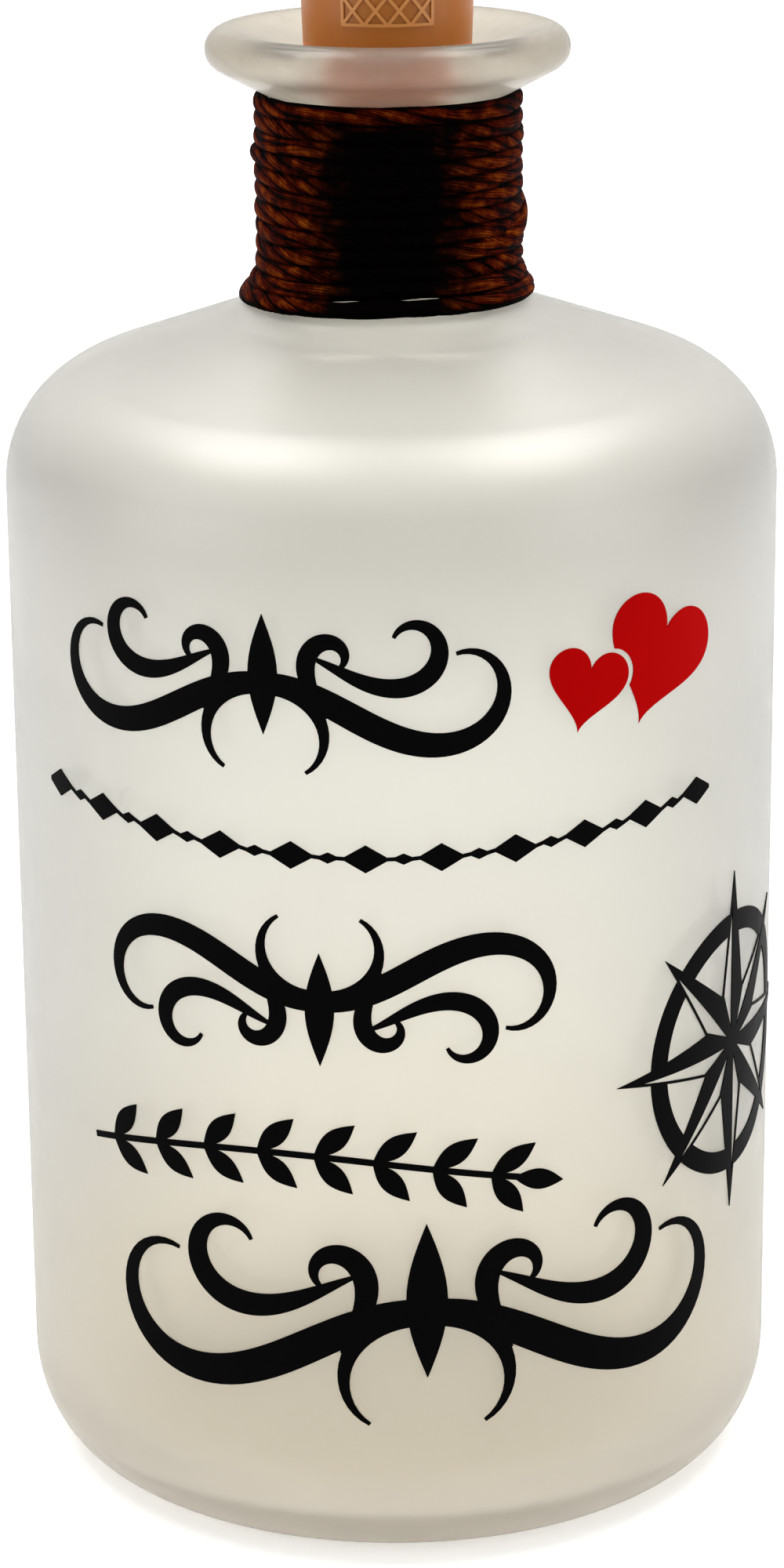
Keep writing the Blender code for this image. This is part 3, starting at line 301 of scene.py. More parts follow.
def build_drift_group():
    """Colour and roughness that drift between two values each, and a grain, as outputs."""
    group = bpy.data.node_groups.new("drifting_finish", "ShaderNodeTree")
    inputs = {
        "Colour": ("NodeSocketColor", (0.8, 0.8, 0.8, 1.0)),
        "Second Colour": ("NodeSocketColor", (0.7, 0.7, 0.7, 1.0)),
        "Drift Size": ("NodeSocketFloat", 60.0),
        "Roughness Low": ("NodeSocketFloat", 0.4),
        "Roughness High": ("NodeSocketFloat", 0.5),
        "Grain Size": ("NodeSocketFloat", 2500.0),
    }
    for name, (kind, value) in inputs.items():
        socket = group.interface.new_socket(name, in_out="INPUT", socket_type=kind)
        socket.default_value = value
    group.interface.new_socket("Colour", in_out="OUTPUT", socket_type="NodeSocketColor")
    for name in ("Roughness", "Height"):
        group.interface.new_socket(name, in_out="OUTPUT", socket_type="NodeSocketFloat")
    entry = group.nodes.new("NodeGroupInput")
    leave = group.nodes.new("NodeGroupOutput")
    place = add_node(group, "ShaderNodeTexCoord")
    drift = add_node(group, "ShaderNodeTexNoise", {"Detail": 3.0, "Roughness": 0.55})
    patch = add_node(group, "ShaderNodeTexNoise", {"Detail": 2.0, "Scale": PATCHES_PER_METRE})
    grain = add_node(group, "ShaderNodeTexNoise", {"Detail": 2.0})
    mix = add_node(group, "ShaderNodeMix", data_type="RGBA")
    level = add_node(group, "ShaderNodeMapRange")
    links = group.links
    for texture in (drift, patch, grain):
        links.new(place.outputs["Object"], texture.inputs["Vector"])
    links.new(entry.outputs["Drift Size"], drift.inputs["Scale"])
    links.new(entry.outputs["Grain Size"], grain.inputs["Scale"])
    links.new(drift.outputs["Fac"], mix.inputs["Factor"])
    links.new(entry.outputs["Colour"], mix.inputs[6])
    links.new(entry.outputs["Second Colour"], mix.inputs[7])
    links.new(patch.outputs["Fac"], level.inputs["Value"])
    links.new(entry.outputs["Roughness Low"], level.inputs["To Min"])
    links.new(entry.outputs["Roughness High"], level.inputs["To Max"])
    links.new(mix.outputs[2], leave.inputs["Colour"])
    links.new(level.outputs[0], leave.inputs["Roughness"])
    links.new(grain.outputs["Fac"], leave.inputs["Height"])
    return group


drift_group = build_drift_group()
print("shader group:", drift_group.name)


# %% Materials from the group
def drifting_material(
    name, colour, second, roughness, drift_size=60.0, grain_size=2500.0, relief=0.00002, **plain
):
    """A Principled material whose colour, roughness and grain come from the group.

    The sizes are counts per metre, and the relief is in metres; plain values go to the shader.
    """
    material = bpy.data.materials.new(name)
    tree = make_nodes(material)
    values = {
        "Colour": (*colour, 1.0),
        "Second Colour": (*second, 1.0),
        "Drift Size": drift_size,
        "Roughness Low": roughness[0],
        "Roughness High": roughness[1],
        "Grain Size": grain_size,
    }
    finish = add_node(tree, "ShaderNodeGroup", values, node_tree=drift_group)
    bump = add_node(tree, "ShaderNodeBump", {"Strength": 1.0, "Distance": relief})
    sockets = {name.replace("_", " "): value for name, value in plain.items()}
    shader = add_node(tree, "ShaderNodeBsdfPrincipled", sockets)
    output = add_node(tree, "ShaderNodeOutputMaterial")
    tree.links.new(finish.outputs["Colour"], shader.inputs["Base Color"])
    tree.links.new(finish.outputs["Roughness"], shader.inputs["Roughness"])
    tree.links.new(finish.outputs["Height"], bump.inputs["Height"])
    tree.links.new(bump.outputs[0], shader.inputs["Normal"])
    tree.links.new(shader.outputs[0], output.inputs[0])
    print("finish:", material.name)
    return material


def open_finish(material, *kinds):
    """The tree of a drifting material, and its nodes of the kinds that a step works on."""
    tree = material.node_tree
    by_kind = {node.bl_idname: node for node in tree.nodes}
    return [tree] + [by_kind[kind] for kind in kinds]


def blend_colour(tree, share, first, second):
    """A colour between two; each is an RGB value or the output of another node."""
    made = add_node(tree, "ShaderNodeMix", data_type="RGBA")
    tree.links.new(share, made.inputs["Factor"])
    for slot, colour in ((6, first), (7, second)):
        if isinstance(colour, tuple):
            made.inputs[slot].default_value = (*colour, 1.0)
        else:
            tree.links.new(colour, made.inputs[slot])
    return made.outputs[2]


def object_place(tree):
    """The place on the piece, and its parts across, back and up."""
    place = add_node(tree, "ShaderNodeTexCoord")
    parts = add_node(tree, "ShaderNodeSeparateXYZ")
    tree.links.new(place.outputs["Object"], parts.inputs[0])
    return (place.outputs["Object"], *parts.outputs)


# %% [markdown]
# ## The glass
# The bottle is blown soda-lime glass with a satin coat sprayed on its outside only. Light goes through
# it but is scattered once, so the far wall, the cord and the stopper show as soft shadows. A thin white
# shell would look like china, so the glass has both walls: a rough outside and a smooth inside. The
# outline carries a satin value, which is 1 outside and 0 inside. The coat was sprayed by hand. Its
# colour follows the height: warm at the foot and the lip, grey below the shoulder as a painted shade,
# and pale on the shoulder as a painted highlight. Where the glass is seen from the side, a share of its
# colour is taken away, a painted shade at the edges. The lip is clearer than the body, so its faces get
# a glass of their own that bends light less.

# %% Coat of the glass by height, with painted shade and highlight
# Each row is a height in metres, the coat's colour there, which holds a painted shade below the shoulder
# and a painted highlight on it, and the share of painted shade at the edge.
COAT_TOP = 0.20
COAT_AND_PAINTED_LIGHT = [
    (0.003, (0.990, 0.915, 0.800), 0.20),
    (0.010, (0.949, 0.897, 0.790), 0.22),
    (0.018, (0.925, 0.880, 0.770), 0.24),
    (0.030, (0.905, 0.868, 0.768), 0.34),
    (0.045, (0.915, 0.895, 0.836), 0.40),
    (0.060, (0.940, 0.928, 0.876), 0.42),
    (0.080, (0.928, 0.920, 0.872), 0.42),
    (0.090, (0.920, 0.912, 0.864), 0.42),
    (0.097, (0.880, 0.869, 0.824), 0.28),
    (0.104, (0.790, 0.778, 0.740), 0.13),
    (0.112, (0.706, 0.695, 0.660), 0.09),
    (0.1165, (0.700, 0.689, 0.654), 0.09),
    (0.1215, (0.905, 0.890, 0.842), 0.17),
    (0.129, (0.910, 0.893, 0.838), 0.24),
    (0.140, (0.860, 0.838, 0.775), 0.24),
    (0.152, (0.730, 0.680, 0.590), 0.24),
    (0.160, (0.700, 0.645, 0.550), 0.24),
]
print("coat:", len(COAT_AND_PAINTED_LIGHT), "heights")

# %% Satin glass material
BARE_ROUGHNESS = 0.14


def build_satin_glass(name, uneven, roughness, drift_size, **plain):
    """Glass with the coat's colour by height, which holds painted shade and highlight, a painted shade
    towards the edges, and rough only where its outline is marked as satin.
    """
    clear = (1.0, 0.998, 0.990)
    grain = {"grain_size": 4000.0, "relief": 0.000002}
    material = drifting_material(name, clear, uneven, roughness, drift_size, **grain, **plain)
    tree, finish, shader = open_finish(material, "ShaderNodeGroup", "ShaderNodeBsdfPrincipled")
    up = object_place(tree)[-1]
    coat = add_node(tree, "ShaderNodeValToRGB")
    stops = coat.color_ramp.elements
    stops.remove(stops[1])
    for height, colour, edge_shade_share in COAT_AND_PAINTED_LIGHT:
        stop = stops.new(height / COAT_TOP)
        stop.color = (*colour, edge_shade_share)
    stops.remove(stops[0])
    drift = add_node(tree, "ShaderNodeMix", {0: 1.0}, data_type="RGBA", blend_type="MULTIPLY")
    facing = add_node(tree, "ShaderNodeLayerWeight", {"Blend": 0.5})
    # The glass is darkened where it is seen from the side: a painted shade at the edges.
    painted_edge_shade = calculate(tree, "MULTIPLY", facing.outputs["Facing"], coat.outputs["Alpha"])
    tree.links.new(calculate(tree, "DIVIDE", up, COAT_TOP), coat.inputs[0])
    tree.links.new(coat.outputs[0], drift.inputs[6])
    tree.links.new(finish.outputs["Colour"], drift.inputs[7])
    edge = blend_colour(tree, painted_edge_shade, drift.outputs[2], (0.0, 0.0, 0.0))
    tree.links.new(edge, shader.inputs["Base Color"])
    satin = add_node(tree, "ShaderNodeAttribute", attribute_name="satin")
    rough = calculate(tree, "MULTIPLY", finish.outputs["Roughness"], satin.outputs["Fac"])
    tree.links.new(calculate(tree, "MAXIMUM", rough, BARE_ROUGHNESS), shader.inputs["Roughness"])
    return material


satin_glass = build_satin_glass(
    "satin_glass", (0.945, 0.942, 0.925), (0.36, 0.46), 55.0, Transmission_Weight=0.76, IOR=1.5
)
lip_glass = build_satin_glass(
    "lip_glass",
    (0.72, 0.70, 0.66),
    (0.36, 0.50),
    420.0,
    Transmission_Weight=0.82,
    IOR=1.22,
    Coat_Weight=0.25,
    Coat_Roughness=0.10,
)

# %% Bottle sizes
BODY_RADIUS = 0.042
BODY_WALL = 0.0026
FOOT_RADIUS = 0.0342
FOOT_RING_WIDTH = 0.0034
HEEL_HEIGHT = 0.0112
PUNT_HEIGHT = 0.0035
FLOOR_THICKNESS = 0.0045
SHOULDER_START = 0.1116
SHOULDER_RADIUS = 0.0135
SHOULDER_TURN_DEG = 70.5
NECK_RADIUS = 0.01295
NECK_FILLET = 0.0065
FILLET_CENTRE = (0.01945, 0.13603)
LIP_ROOT = 0.15309
LIP_UNDERSIDE_DEG = 28.0
LIP_BEAD_RADIUS = 0.00225
BEAD_CENTRE = (0.0172, 0.15789)
CREST = 0.16014
FUNNEL_DEG = 22.0
MOUTH_RADIUS = 0.00908
MOUTH_EDGE_RADIUS = 0.0007
BORE_TAPER_DEG = 2.1


def bore_radius(height):
    """The mouth is a cone, as a cork needs."""
    return MOUTH_RADIUS + (height - CREST) * math.tan(math.radians(BORE_TAPER_DEG))


print(f"bottle: {2000 * BODY_RADIUS:.1f} mm across, crest of the lip {1000 * CREST:.1f} mm up")

# %% Outside of the glass
glass_pen = Pen(0.0, PUNT_HEIGHT)
ring_inner = FOOT_RADIUS - FOOT_RING_WIDTH
punt_radius = (ring_inner**2 + PUNT_HEIGHT**2) / (2 * PUNT_HEIGHT)
punt_turn = -math.degrees(math.asin(ring_inner / punt_radius))
glass_pen.arc((0.0, PUNT_HEIGHT - punt_radius), punt_turn, 10)
glass_pen.line(FOOT_RADIUS, 0.0)
drawn = set(glass_pen.bm.verts)
glass_pen.arc((FOOT_RADIUS, HEEL_HEIGHT), 90.0, 16)
bmesh.ops.scale(
    glass_pen.bm,
    vec=((BODY_RADIUS - FOOT_RADIUS) / HEEL_HEIGHT, 1.0, 1.0),
    space=Matrix.Translation((-FOOT_RADIUS, 0.0, 0.0)),
    verts=[vert for vert in glass_pen.bm.verts if vert not in drawn],
)
glass_pen.line(BODY_RADIUS, SHOULDER_START)
glass_pen.arc((BODY_RADIUS - SHOULDER_RADIUS, SHOULDER_START), SHOULDER_TURN_DEG, 22)
fillet_turn = math.radians(180.0 + SHOULDER_TURN_DEG)
glass_pen.line(
    FILLET_CENTRE[0] + NECK_FILLET * math.cos(fillet_turn),
    FILLET_CENTRE[1] + NECK_FILLET * math.sin(fillet_turn),
)
glass_pen.arc(FILLET_CENTRE, -SHOULDER_TURN_DEG, 14)
glass_pen.line(NECK_RADIUS, LIP_ROOT)
under_turn = math.radians(LIP_UNDERSIDE_DEG - 90.0)
glass_pen.line(
    BEAD_CENTRE[0] + LIP_BEAD_RADIUS * math.cos(under_turn),
    BEAD_CENTRE[1] + LIP_BEAD_RADIUS * math.sin(under_turn),
)
glass_pen.arc(BEAD_CENTRE, 180.0 + FUNNEL_DEG - LIP_UNDERSIDE_DEG, 24)
print("corners of the outside:", len(glass_pen.bm.verts))

# %% Inside of the glass
funnel_slope = math.tan(math.radians(FUNNEL_DEG))
edge_across = MOUTH_RADIUS + MOUTH_EDGE_RADIUS
edge_turn = math.radians(90.0 + FUNNEL_DEG)
funnel_foot = edge_across + MOUTH_EDGE_RADIUS * math.cos(edge_turn)
funnel_depth = (glass_pen.tip.co.x - funnel_foot) * funnel_slope
funnel_end = glass_pen.tip.co.z - funnel_depth
glass_pen.line(funnel_foot, funnel_end)
coated = set(glass_pen.bm.verts)
edge_centre = (edge_across, funnel_end - MOUTH_EDGE_RADIUS * math.sin(edge_turn))
glass_pen.arc(edge_centre, 90.0 - FUNNEL_DEG, 5)
glass_pen.line(bore_radius(FILLET_CENTRE[1]), FILLET_CENTRE[1])
glass_pen.arc(FILLET_CENTRE, SHOULDER_TURN_DEG, 14)
inner_turn = math.radians(SHOULDER_TURN_DEG)
inner_shoulder = SHOULDER_RADIUS - BODY_WALL
glass_pen.line(
    BODY_RADIUS - SHOULDER_RADIUS + inner_shoulder * math.cos(inner_turn),
    SHOULDER_START + inner_shoulder * math.sin(inner_turn),
)
glass_pen.arc((BODY_RADIUS - SHOULDER_RADIUS, SHOULDER_START), -SHOULDER_TURN_DEG, 20)
inner_foot = FOOT_RADIUS - BODY_WALL / 2
inner_heel = HEEL_HEIGHT + FLOOR_THICKNESS / 2
heel_radius = BODY_RADIUS - BODY_WALL - inner_foot
heel_depth = inner_heel - FLOOR_THICKNESS
glass_pen.line(BODY_RADIUS - BODY_WALL, inner_heel)
drawn = set(glass_pen.bm.verts)
glass_pen.arc((inner_foot, inner_heel), -90.0, 12)
bmesh.ops.scale(
    glass_pen.bm,
    vec=(1.0, 1.0, heel_depth / heel_radius),
    space=Matrix.Translation((0.0, 0.0, -inner_heel)),
    verts=[vert for vert in glass_pen.bm.verts if vert not in drawn],
)
glass_pen.line(0.0, FLOOR_THICKNESS + PUNT_HEIGHT)
print("corners of the whole outline:", len(glass_pen.bm.verts))

# %% Spin the glass
GLASS_STEPS = 144

for vert in glass_pen.bm.verts:
    vert[glass_pen.satin] = float(vert in coated)
glass = finish_piece(
    "glass", glass_pen.spin(GLASS_STEPS), "bottle", satin_glass, "frosted_glass", ["glass_bottle"]
)
glass.data.materials.append(lip_glass)
for face in glass.data.polygons:
    face.material_index = 1 if face.center.z > LIP_ROOT else 0
print("faces of the lip:", sum(face.material_index for face in glass.data.polygons))

# %% [markdown]
# ## The wound cord
# The neck is wound with a dozen turns of soft waxed cord, pressed flat against each other. A ring for
# each turn would look machined. Here one path runs level round the neck, climbs to the next turn at the
# back, wavers, spreads where it is loose, and brings its end down over the other turns. A curve sweep
# makes the twisted plies, and each ring of the sweep is then pressed to the width that its neighbours
# leave it. Turns are counted from the back, so turn 3.5 is at the front of the fourth.

# %% Sizes of the cord
CORD_RADIUS = 0.00091
CORD_DEPTH = 0.00074
CORD_TURNS = 12
CORD_CLIMB = 0.30
CORD_FOOT = -0.0037
CORD_HEAD = 0.01640
LEFT_DROP = 0.0008
TAIL_TURNS = 0.52
TAIL_FOOT = 0.0022
TAIL_LIFT = 0.00046
CORD_BEND = NECK_FILLET - CORD_DEPTH


def smooth_step(value):
    """From 0 to 1 with level ends."""
    value = min(max(value, 0.0), 1.0)
    return value * value * (3.0 - 2.0 * value)


print(f"cord: {2000 * CORD_RADIUS:.2f} mm wide, {CORD_TURNS} turns")

# %% Winding of the cord
# Each waver is its size in metres, its swings per turn, and how it shifts from foot to head.
WAVERS = ((0.00016, 2.0, 7.0, 0.8), (0.00010, 5.0, -13.0, 0.0), (0.00007, 9.0, 31.0, 0.0))
SLOW_WAVER = 0.00006
SLOW_WAVER_RATE = 3.1
END_CALM = 0.04


def wound_place(turn):
    """How far up the neck from the start of its flare the winding lies."""
    level = sum(smooth_step((turn - whole) / CORD_CLIMB + 0.5) for whole in range(1, CORD_TURNS))
    share = level / (CORD_TURNS - 1)
    angle = math.tau * turn
    foot = CORD_FOOT - LEFT_DROP * max(-math.sin(angle), 0.0)
    waver = SLOW_WAVER * math.sin(SLOW_WAVER_RATE * turn)
    for size, swings, shift, start in WAVERS:
        waver += size * math.sin(swings * angle + shift * share + start)
    calm = math.sin(math.pi * min(max(share, END_CALM), 1.0 - END_CALM)) ** 0.5
    return foot + (CORD_HEAD - foot) * share + waver * calm


wound_ends = [f"{1000 * wound_place(turns):.1f}" for turns in (0.0, CORD_TURNS)]
print("winding: from", " to ".join(wound_ends), "mm up the neck")

# %% Loose places of the cord
# The two lowest turns part for a little way in front, the tail crosses over, and one ply stands proud.
PART_FROM, PART_TO, PART_EASE = 0.36, 0.60, 0.04
PART_WIDTH = 0.00022
PART_UNEVEN, PART_UNEVEN_RATE = 0.4, 70.0
KNUCKLE_TURN, KNUCKLE_SPREAD = 0.745, 0.03
KNUCKLE_UP, KNUCKLE_HEIGHT = 0.0104, 0.0013
KNUCKLE_LIFT = 0.00042
RISE_BEFORE, RISE_TURNS = 0.12, 0.08
FALL_AFTER, FALL_TURNS = 0.36, 0.05
SWAY_LIFT = 0.00005
SWAYS_PER_TURN = 3.7


def parting(turn):
    """Half the gap between the two lowest turns."""
    around = turn % 1.0
    opened = smooth_step((around - PART_FROM) / PART_EASE) * smooth_step((PART_TO - around) / PART_EASE)
    waver = 1.0 - PART_UNEVEN + PART_UNEVEN * math.sin(PART_UNEVEN_RATE * turn)
    return opened * PART_WIDTH * waver


def lift_off(turn, along):
    """How far the cord stands off its bed."""
    rise = smooth_step((turn - CORD_TURNS + RISE_BEFORE) / RISE_TURNS)
    fall = smooth_step((CORD_TURNS + FALL_AFTER - turn) / FALL_TURNS)
    aside = (turn % 1.0 - KNUCKLE_TURN) / KNUCKLE_SPREAD
    knuckle = math.exp(-(aside**2) - ((along - KNUCKLE_UP) / KNUCKLE_HEIGHT) ** 2)
    sway = math.sin(math.tau * SWAYS_PER_TURN * turn)
    return TAIL_LIFT * (rise * fall) + KNUCKLE_LIFT * knuckle + SWAY_LIFT * sway


print(f"parting: {2000 * PART_WIDTH:.2f} mm, knuckle: {1000 * KNUCKLE_LIFT:.2f} mm")


# %% Path of the cord
def cord_place(turn):
    """Place up the neck, lift off it, and the room above and below, all for one point of the cord."""
    tail = smooth_step((turn - CORD_TURNS + CORD_CLIMB / 2) / TAIL_TURNS)
    along = wound_place(min(turn, CORD_TURNS)) * (1 - tail) + TAIL_FOOT * tail
    above, below = CORD_RADIUS, CORD_RADIUS
    if turn < CORD_TURNS - 1:
        above = (wound_place(turn + 1.0) - wound_place(turn)) / 2
    if 1.0 < turn < CORD_TURNS:
        below = (wound_place(turn) - wound_place(turn - 1.0)) / 2
    above -= parting(turn) * (turn < 1.0)
    below -= parting(turn) * (1.0 < turn < 2.0)
    return along, lift_off(turn, along), above, below


def cord_frame(turn):
    """The middle of the cord, the way off the glass and the way up it."""
    along, lift, above, below = cord_place(turn)
    tilt = max(-along, 0.0) / CORD_BEND
    angle = math.tau * turn
    outward = Vector((math.sin(angle), math.cos(angle), 0.0))
    off = outward * math.cos(tilt) + Vector((0.0, 0.0, math.sin(tilt)))
    up = Vector((0.0, 0.0, math.cos(tilt))) - outward * math.sin(tilt)
    middle = outward * (FILLET_CENTRE[0] - CORD_BEND * math.cos(tilt))
    middle.z = FILLET_CENTRE[1] + max(along, 0.0) - CORD_BEND * math.sin(tilt)
    return middle + off * lift, off, up, above, below


STEPS_PER_TURN = 96
TAIL_END = 0.39
FIRST_TURN, LAST_TURN = CORD_CLIMB / 2, CORD_TURNS + TAIL_END
step_count = round((LAST_TURN - FIRST_TURN) * STEPS_PER_TURN)
turns = [FIRST_TURN + (LAST_TURN - FIRST_TURN) * step / step_count for step in range(step_count + 1)]
middles = [cord_frame(turn)[0] for turn in turns]
cord_length = sum((second - first).length for first, second in zip(middles, middles[1:]))
print(f"length of the wound cord: {cord_length:.3f} m")


# %% Section of the cord
def add_to_scene(name, data):
    """A helper object, which is removed when its shape has been read."""
    made = bpy.data.objects.new(name, data)
    bpy.context.scene.collection.objects.link(made)
    return made


def read_shape(made):
    """The finished mesh of an object, with its modifiers or its sweep."""
    return bpy.data.meshes.new_from_object(made.evaluated_get(bpy.context.evaluated_depsgraph_get()))


CORD_PLIES = 4
SECTION_POINTS = 40
PLY_DEPTH = 0.14
PLY_ROUNDNESS = 0.4

section = bpy.data.curves.new("cord_section", "CURVE")
section.dimensions = "2D"
lobes = section.splines.new("POLY")
lobes.points.add(SECTION_POINTS - 1)
for index, point in enumerate(lobes.points):
    angle = math.tau * index / SECTION_POINTS
    lobe = abs(math.sin(CORD_PLIES / 2 * angle)) ** PLY_ROUNDNESS
    reach = CORD_RADIUS * (1.0 - PLY_DEPTH + PLY_DEPTH * lobe)
    point.co = (reach * math.cos(angle), reach * math.sin(angle), 0.0, 1.0)
lobes.use_cyclic_u = True
section_object = add_to_scene("cord_section", section)
print("plies of the section:", CORD_PLIES)

# %% Sweep of the cord
TWISTS_PER_TURN = 3.8
# Each unevenness of the twist is its size in twists and its rate per turn.
TWIST_DRIFTS = ((0.35, 2.3), (0.16, math.tau * 1.7), (0.09, 29.0))

path = bpy.data.curves.new("cord_path", "CURVE")
path.dimensions = "3D"
path.bevel_mode = "OBJECT"
path.bevel_object = section_object
line = path.splines.new("POLY")
line.points.add(step_count)
for turn, middle, point in zip(turns, middles, line.points):
    point.co = (*middle, 1.0)
    uneven = sum(size * math.sin(rate * turn) for size, rate in TWIST_DRIFTS)
    point.tilt = math.tau * (TWISTS_PER_TURN * (turn - CORD_TURNS / 2) + uneven)
path_object = add_to_scene("cord_path", path)
swept = read_shape(path_object)
bpy.data.objects.remove(path_object)
bpy.data.objects.remove(section_object)
print("rings of the sweep:", len(turns), "vertices:", len(swept.vertices))

# %% Press the cord flat
# A ring fills the room between its neighbours and a little more, so that no light passes between turns.
CROWDING = 1.18
PRESS_DRIFT, PRESS_DRIFT_RATE = 0.06, 41.0
END_TAPER_TURNS, END_TAPER_LEFT = 0.02, 0.3
GROOVE_STARTS_AT, GROOVE_WIDTH = 0.55, 0.40

groove = swept.attributes.new("groove", "FLOAT", "POINT")
for index, vert in enumerate(swept.vertices):
    turn = turns[min(index // SECTION_POINTS, step_count)]
    middle, off, up, above, below = cord_frame(turn)
    offset = vert.co - middle
    off_glass, up_glass = offset.dot(off), offset.dot(up)
    end = smooth_step(min(turn - FIRST_TURN, LAST_TURN - turn) / END_TAPER_TURNS + END_TAPER_LEFT)
    room = (above if up_glass > 0.0 else below) * CROWDING / CORD_RADIUS
    press = CORD_DEPTH / CORD_RADIUS * (1.0 + PRESS_DRIFT * math.sin(PRESS_DRIFT_RATE * turn))
    vert.co = middle + off * off_glass * press * end + up * up_glass * room * end
    if turn < CORD_TURNS:
        side = abs(up_glass) / CORD_RADIUS
        groove.data[index].value = smooth_step((side - GROOVE_STARTS_AT) / GROOVE_WIDTH)
print("deepest groove:", round(max(value.value for value in groove.data), 2))

# %% Close the ends of the cord
winding = as_bmesh(swept)
bmesh.ops.remove_doubles(winding, verts=winding.verts[:], dist=FINE_DOUBLE)
ends = bmesh.ops.holes_fill(winding, edges=[edge for edge in winding.edges if edge.is_boundary])
print("cord ends closed:", len(ends["faces"]))

# %% [markdown]
# ### Waxed fibres
# Fibres run along the cord, so their noise is stretched on the cord's own UV map, which the sweep made.
# The plies are paler on their crests and the grooves between plies and turns are darker, a painted
# shade. The front of the winding is painted nearly black, a painted shade, while the sides, the back and
# the topmost turn under the lip stay brown. That mask reads Object coordinates, so it stays in its place
# from every side.

# %% Fibres and wax
FIBRE_STRETCH = (300.0, 46.0, 1.0)
WAX_PATCHES = 420.0
FIBRE_SHARE, PATCH_SHARE = 0.55, 0.45
FIBRE_RELIEF = 0.0002
WAX_ROUGHNESS = (0.50, 0.74)
# Paler ply crests and darker grooves are a painted shade.
PLY_SHADE, LEAST_SHADE, GROOVE_SHADE = 0.40, 0.64, 0.30
DARK_WAX_AND_SHADE = (0.0004, 0.0001, 0.0)
# Each stop is the amount of light on the wax, and its colour.
WAX_STOPS = ((0.40, DARK_WAX_AND_SHADE), (0.51, (0.056, 0.0034, 0.0002)), (0.70, (0.260, 0.058, 0.004)))


def wax_colour(tree, along_cord, fibres, patches):
    """Brown wax that is paler on the ply crests and darker in the grooves, a painted shade."""
    grooves = add_node(tree, "ShaderNodeAttribute", attribute_name="groove")
    ramp = add_node(tree, "ShaderNodeValToRGB")
    parts = add_node(tree, "ShaderNodeSeparateXYZ")
    tree.links.new(along_cord, parts.inputs[0])
    ply = calculate(tree, "SINE", calculate(tree, "MULTIPLY", parts.outputs[1], CORD_PLIES * math.pi))
    ply = calculate(tree, "POWER", calculate(tree, "ABSOLUTE", ply), PLY_ROUNDNESS)
    shade = calculate(tree, "ADD", calculate(tree, "MULTIPLY", ply, PLY_SHADE), LEAST_SHADE)
    groove_part = calculate(tree, "MULTIPLY", grooves.outputs["Fac"], GROOVE_SHADE)
    shade = calculate(tree, "SUBTRACT", shade, groove_part)
    fibre_part = calculate(tree, "MULTIPLY", fibres, FIBRE_SHARE)
    patch_part = calculate(tree, "MULTIPLY", patches, PATCH_SHARE)
    wax = calculate(tree, "MULTIPLY", calculate(tree, "ADD", fibre_part, patch_part), shade)
    tree.links.new(wax, ramp.inputs[0])
    stops = ramp.color_ramp.elements
    stops[0].position = WAX_STOPS[0][0]
    stops[1].position = WAX_STOPS[2][0]
    stops.new(WAX_STOPS[1][0])
    for stop, (position, colour) in zip(stops, WAX_STOPS):
        stop.color = (*colour, 1.0)
    return ramp.outputs[0]


print("stops of the wax:", len(WAX_STOPS))

# %% Where no shade is painted on the wax
SIDE_FROM, SIDE_TO = 0.0046, 0.0116
BEHIND_FROM, BEHIND_TO = -0.006, 0.002
TOP_FROM, TOP_TO = 0.1510, 0.1527
MOTTLE = 0.006


def unshaded_share(tree, across, back, up, patches):
    """1 at the sides, at the back and on the topmost turn, and 0 on the front, where a dark shade is
    painted.
    """
    mottle = calculate(tree, "MULTIPLY", calculate(tree, "SUBTRACT", patches, 0.5), MOTTLE)
    side = add_node(tree, "ShaderNodeMapRange", {"From Min": SIDE_FROM, "From Max": SIDE_TO})
    side.interpolation_type = "SMOOTHSTEP"
    behind = add_node(tree, "ShaderNodeMapRange", {"From Min": BEHIND_FROM, "From Max": BEHIND_TO})
    top = add_node(tree, "ShaderNodeMapRange", {"From Min": TOP_FROM, "From Max": TOP_TO})
    from_middle = calculate(tree, "ADD", calculate(tree, "ABSOLUTE", across), mottle)
    tree.links.new(from_middle, side.inputs["Value"])
    tree.links.new(back, behind.inputs["Value"])
    tree.links.new(up, top.inputs["Value"])
    away = calculate(tree, "MAXIMUM", behind.outputs[0], top.outputs[0])
    return calculate(tree, "MAXIMUM", side.outputs[0], away)


# The front is where the cord's dark painted shade lies.
print(f"handled front: {2000 * SIDE_FROM:.1f} mm wide")


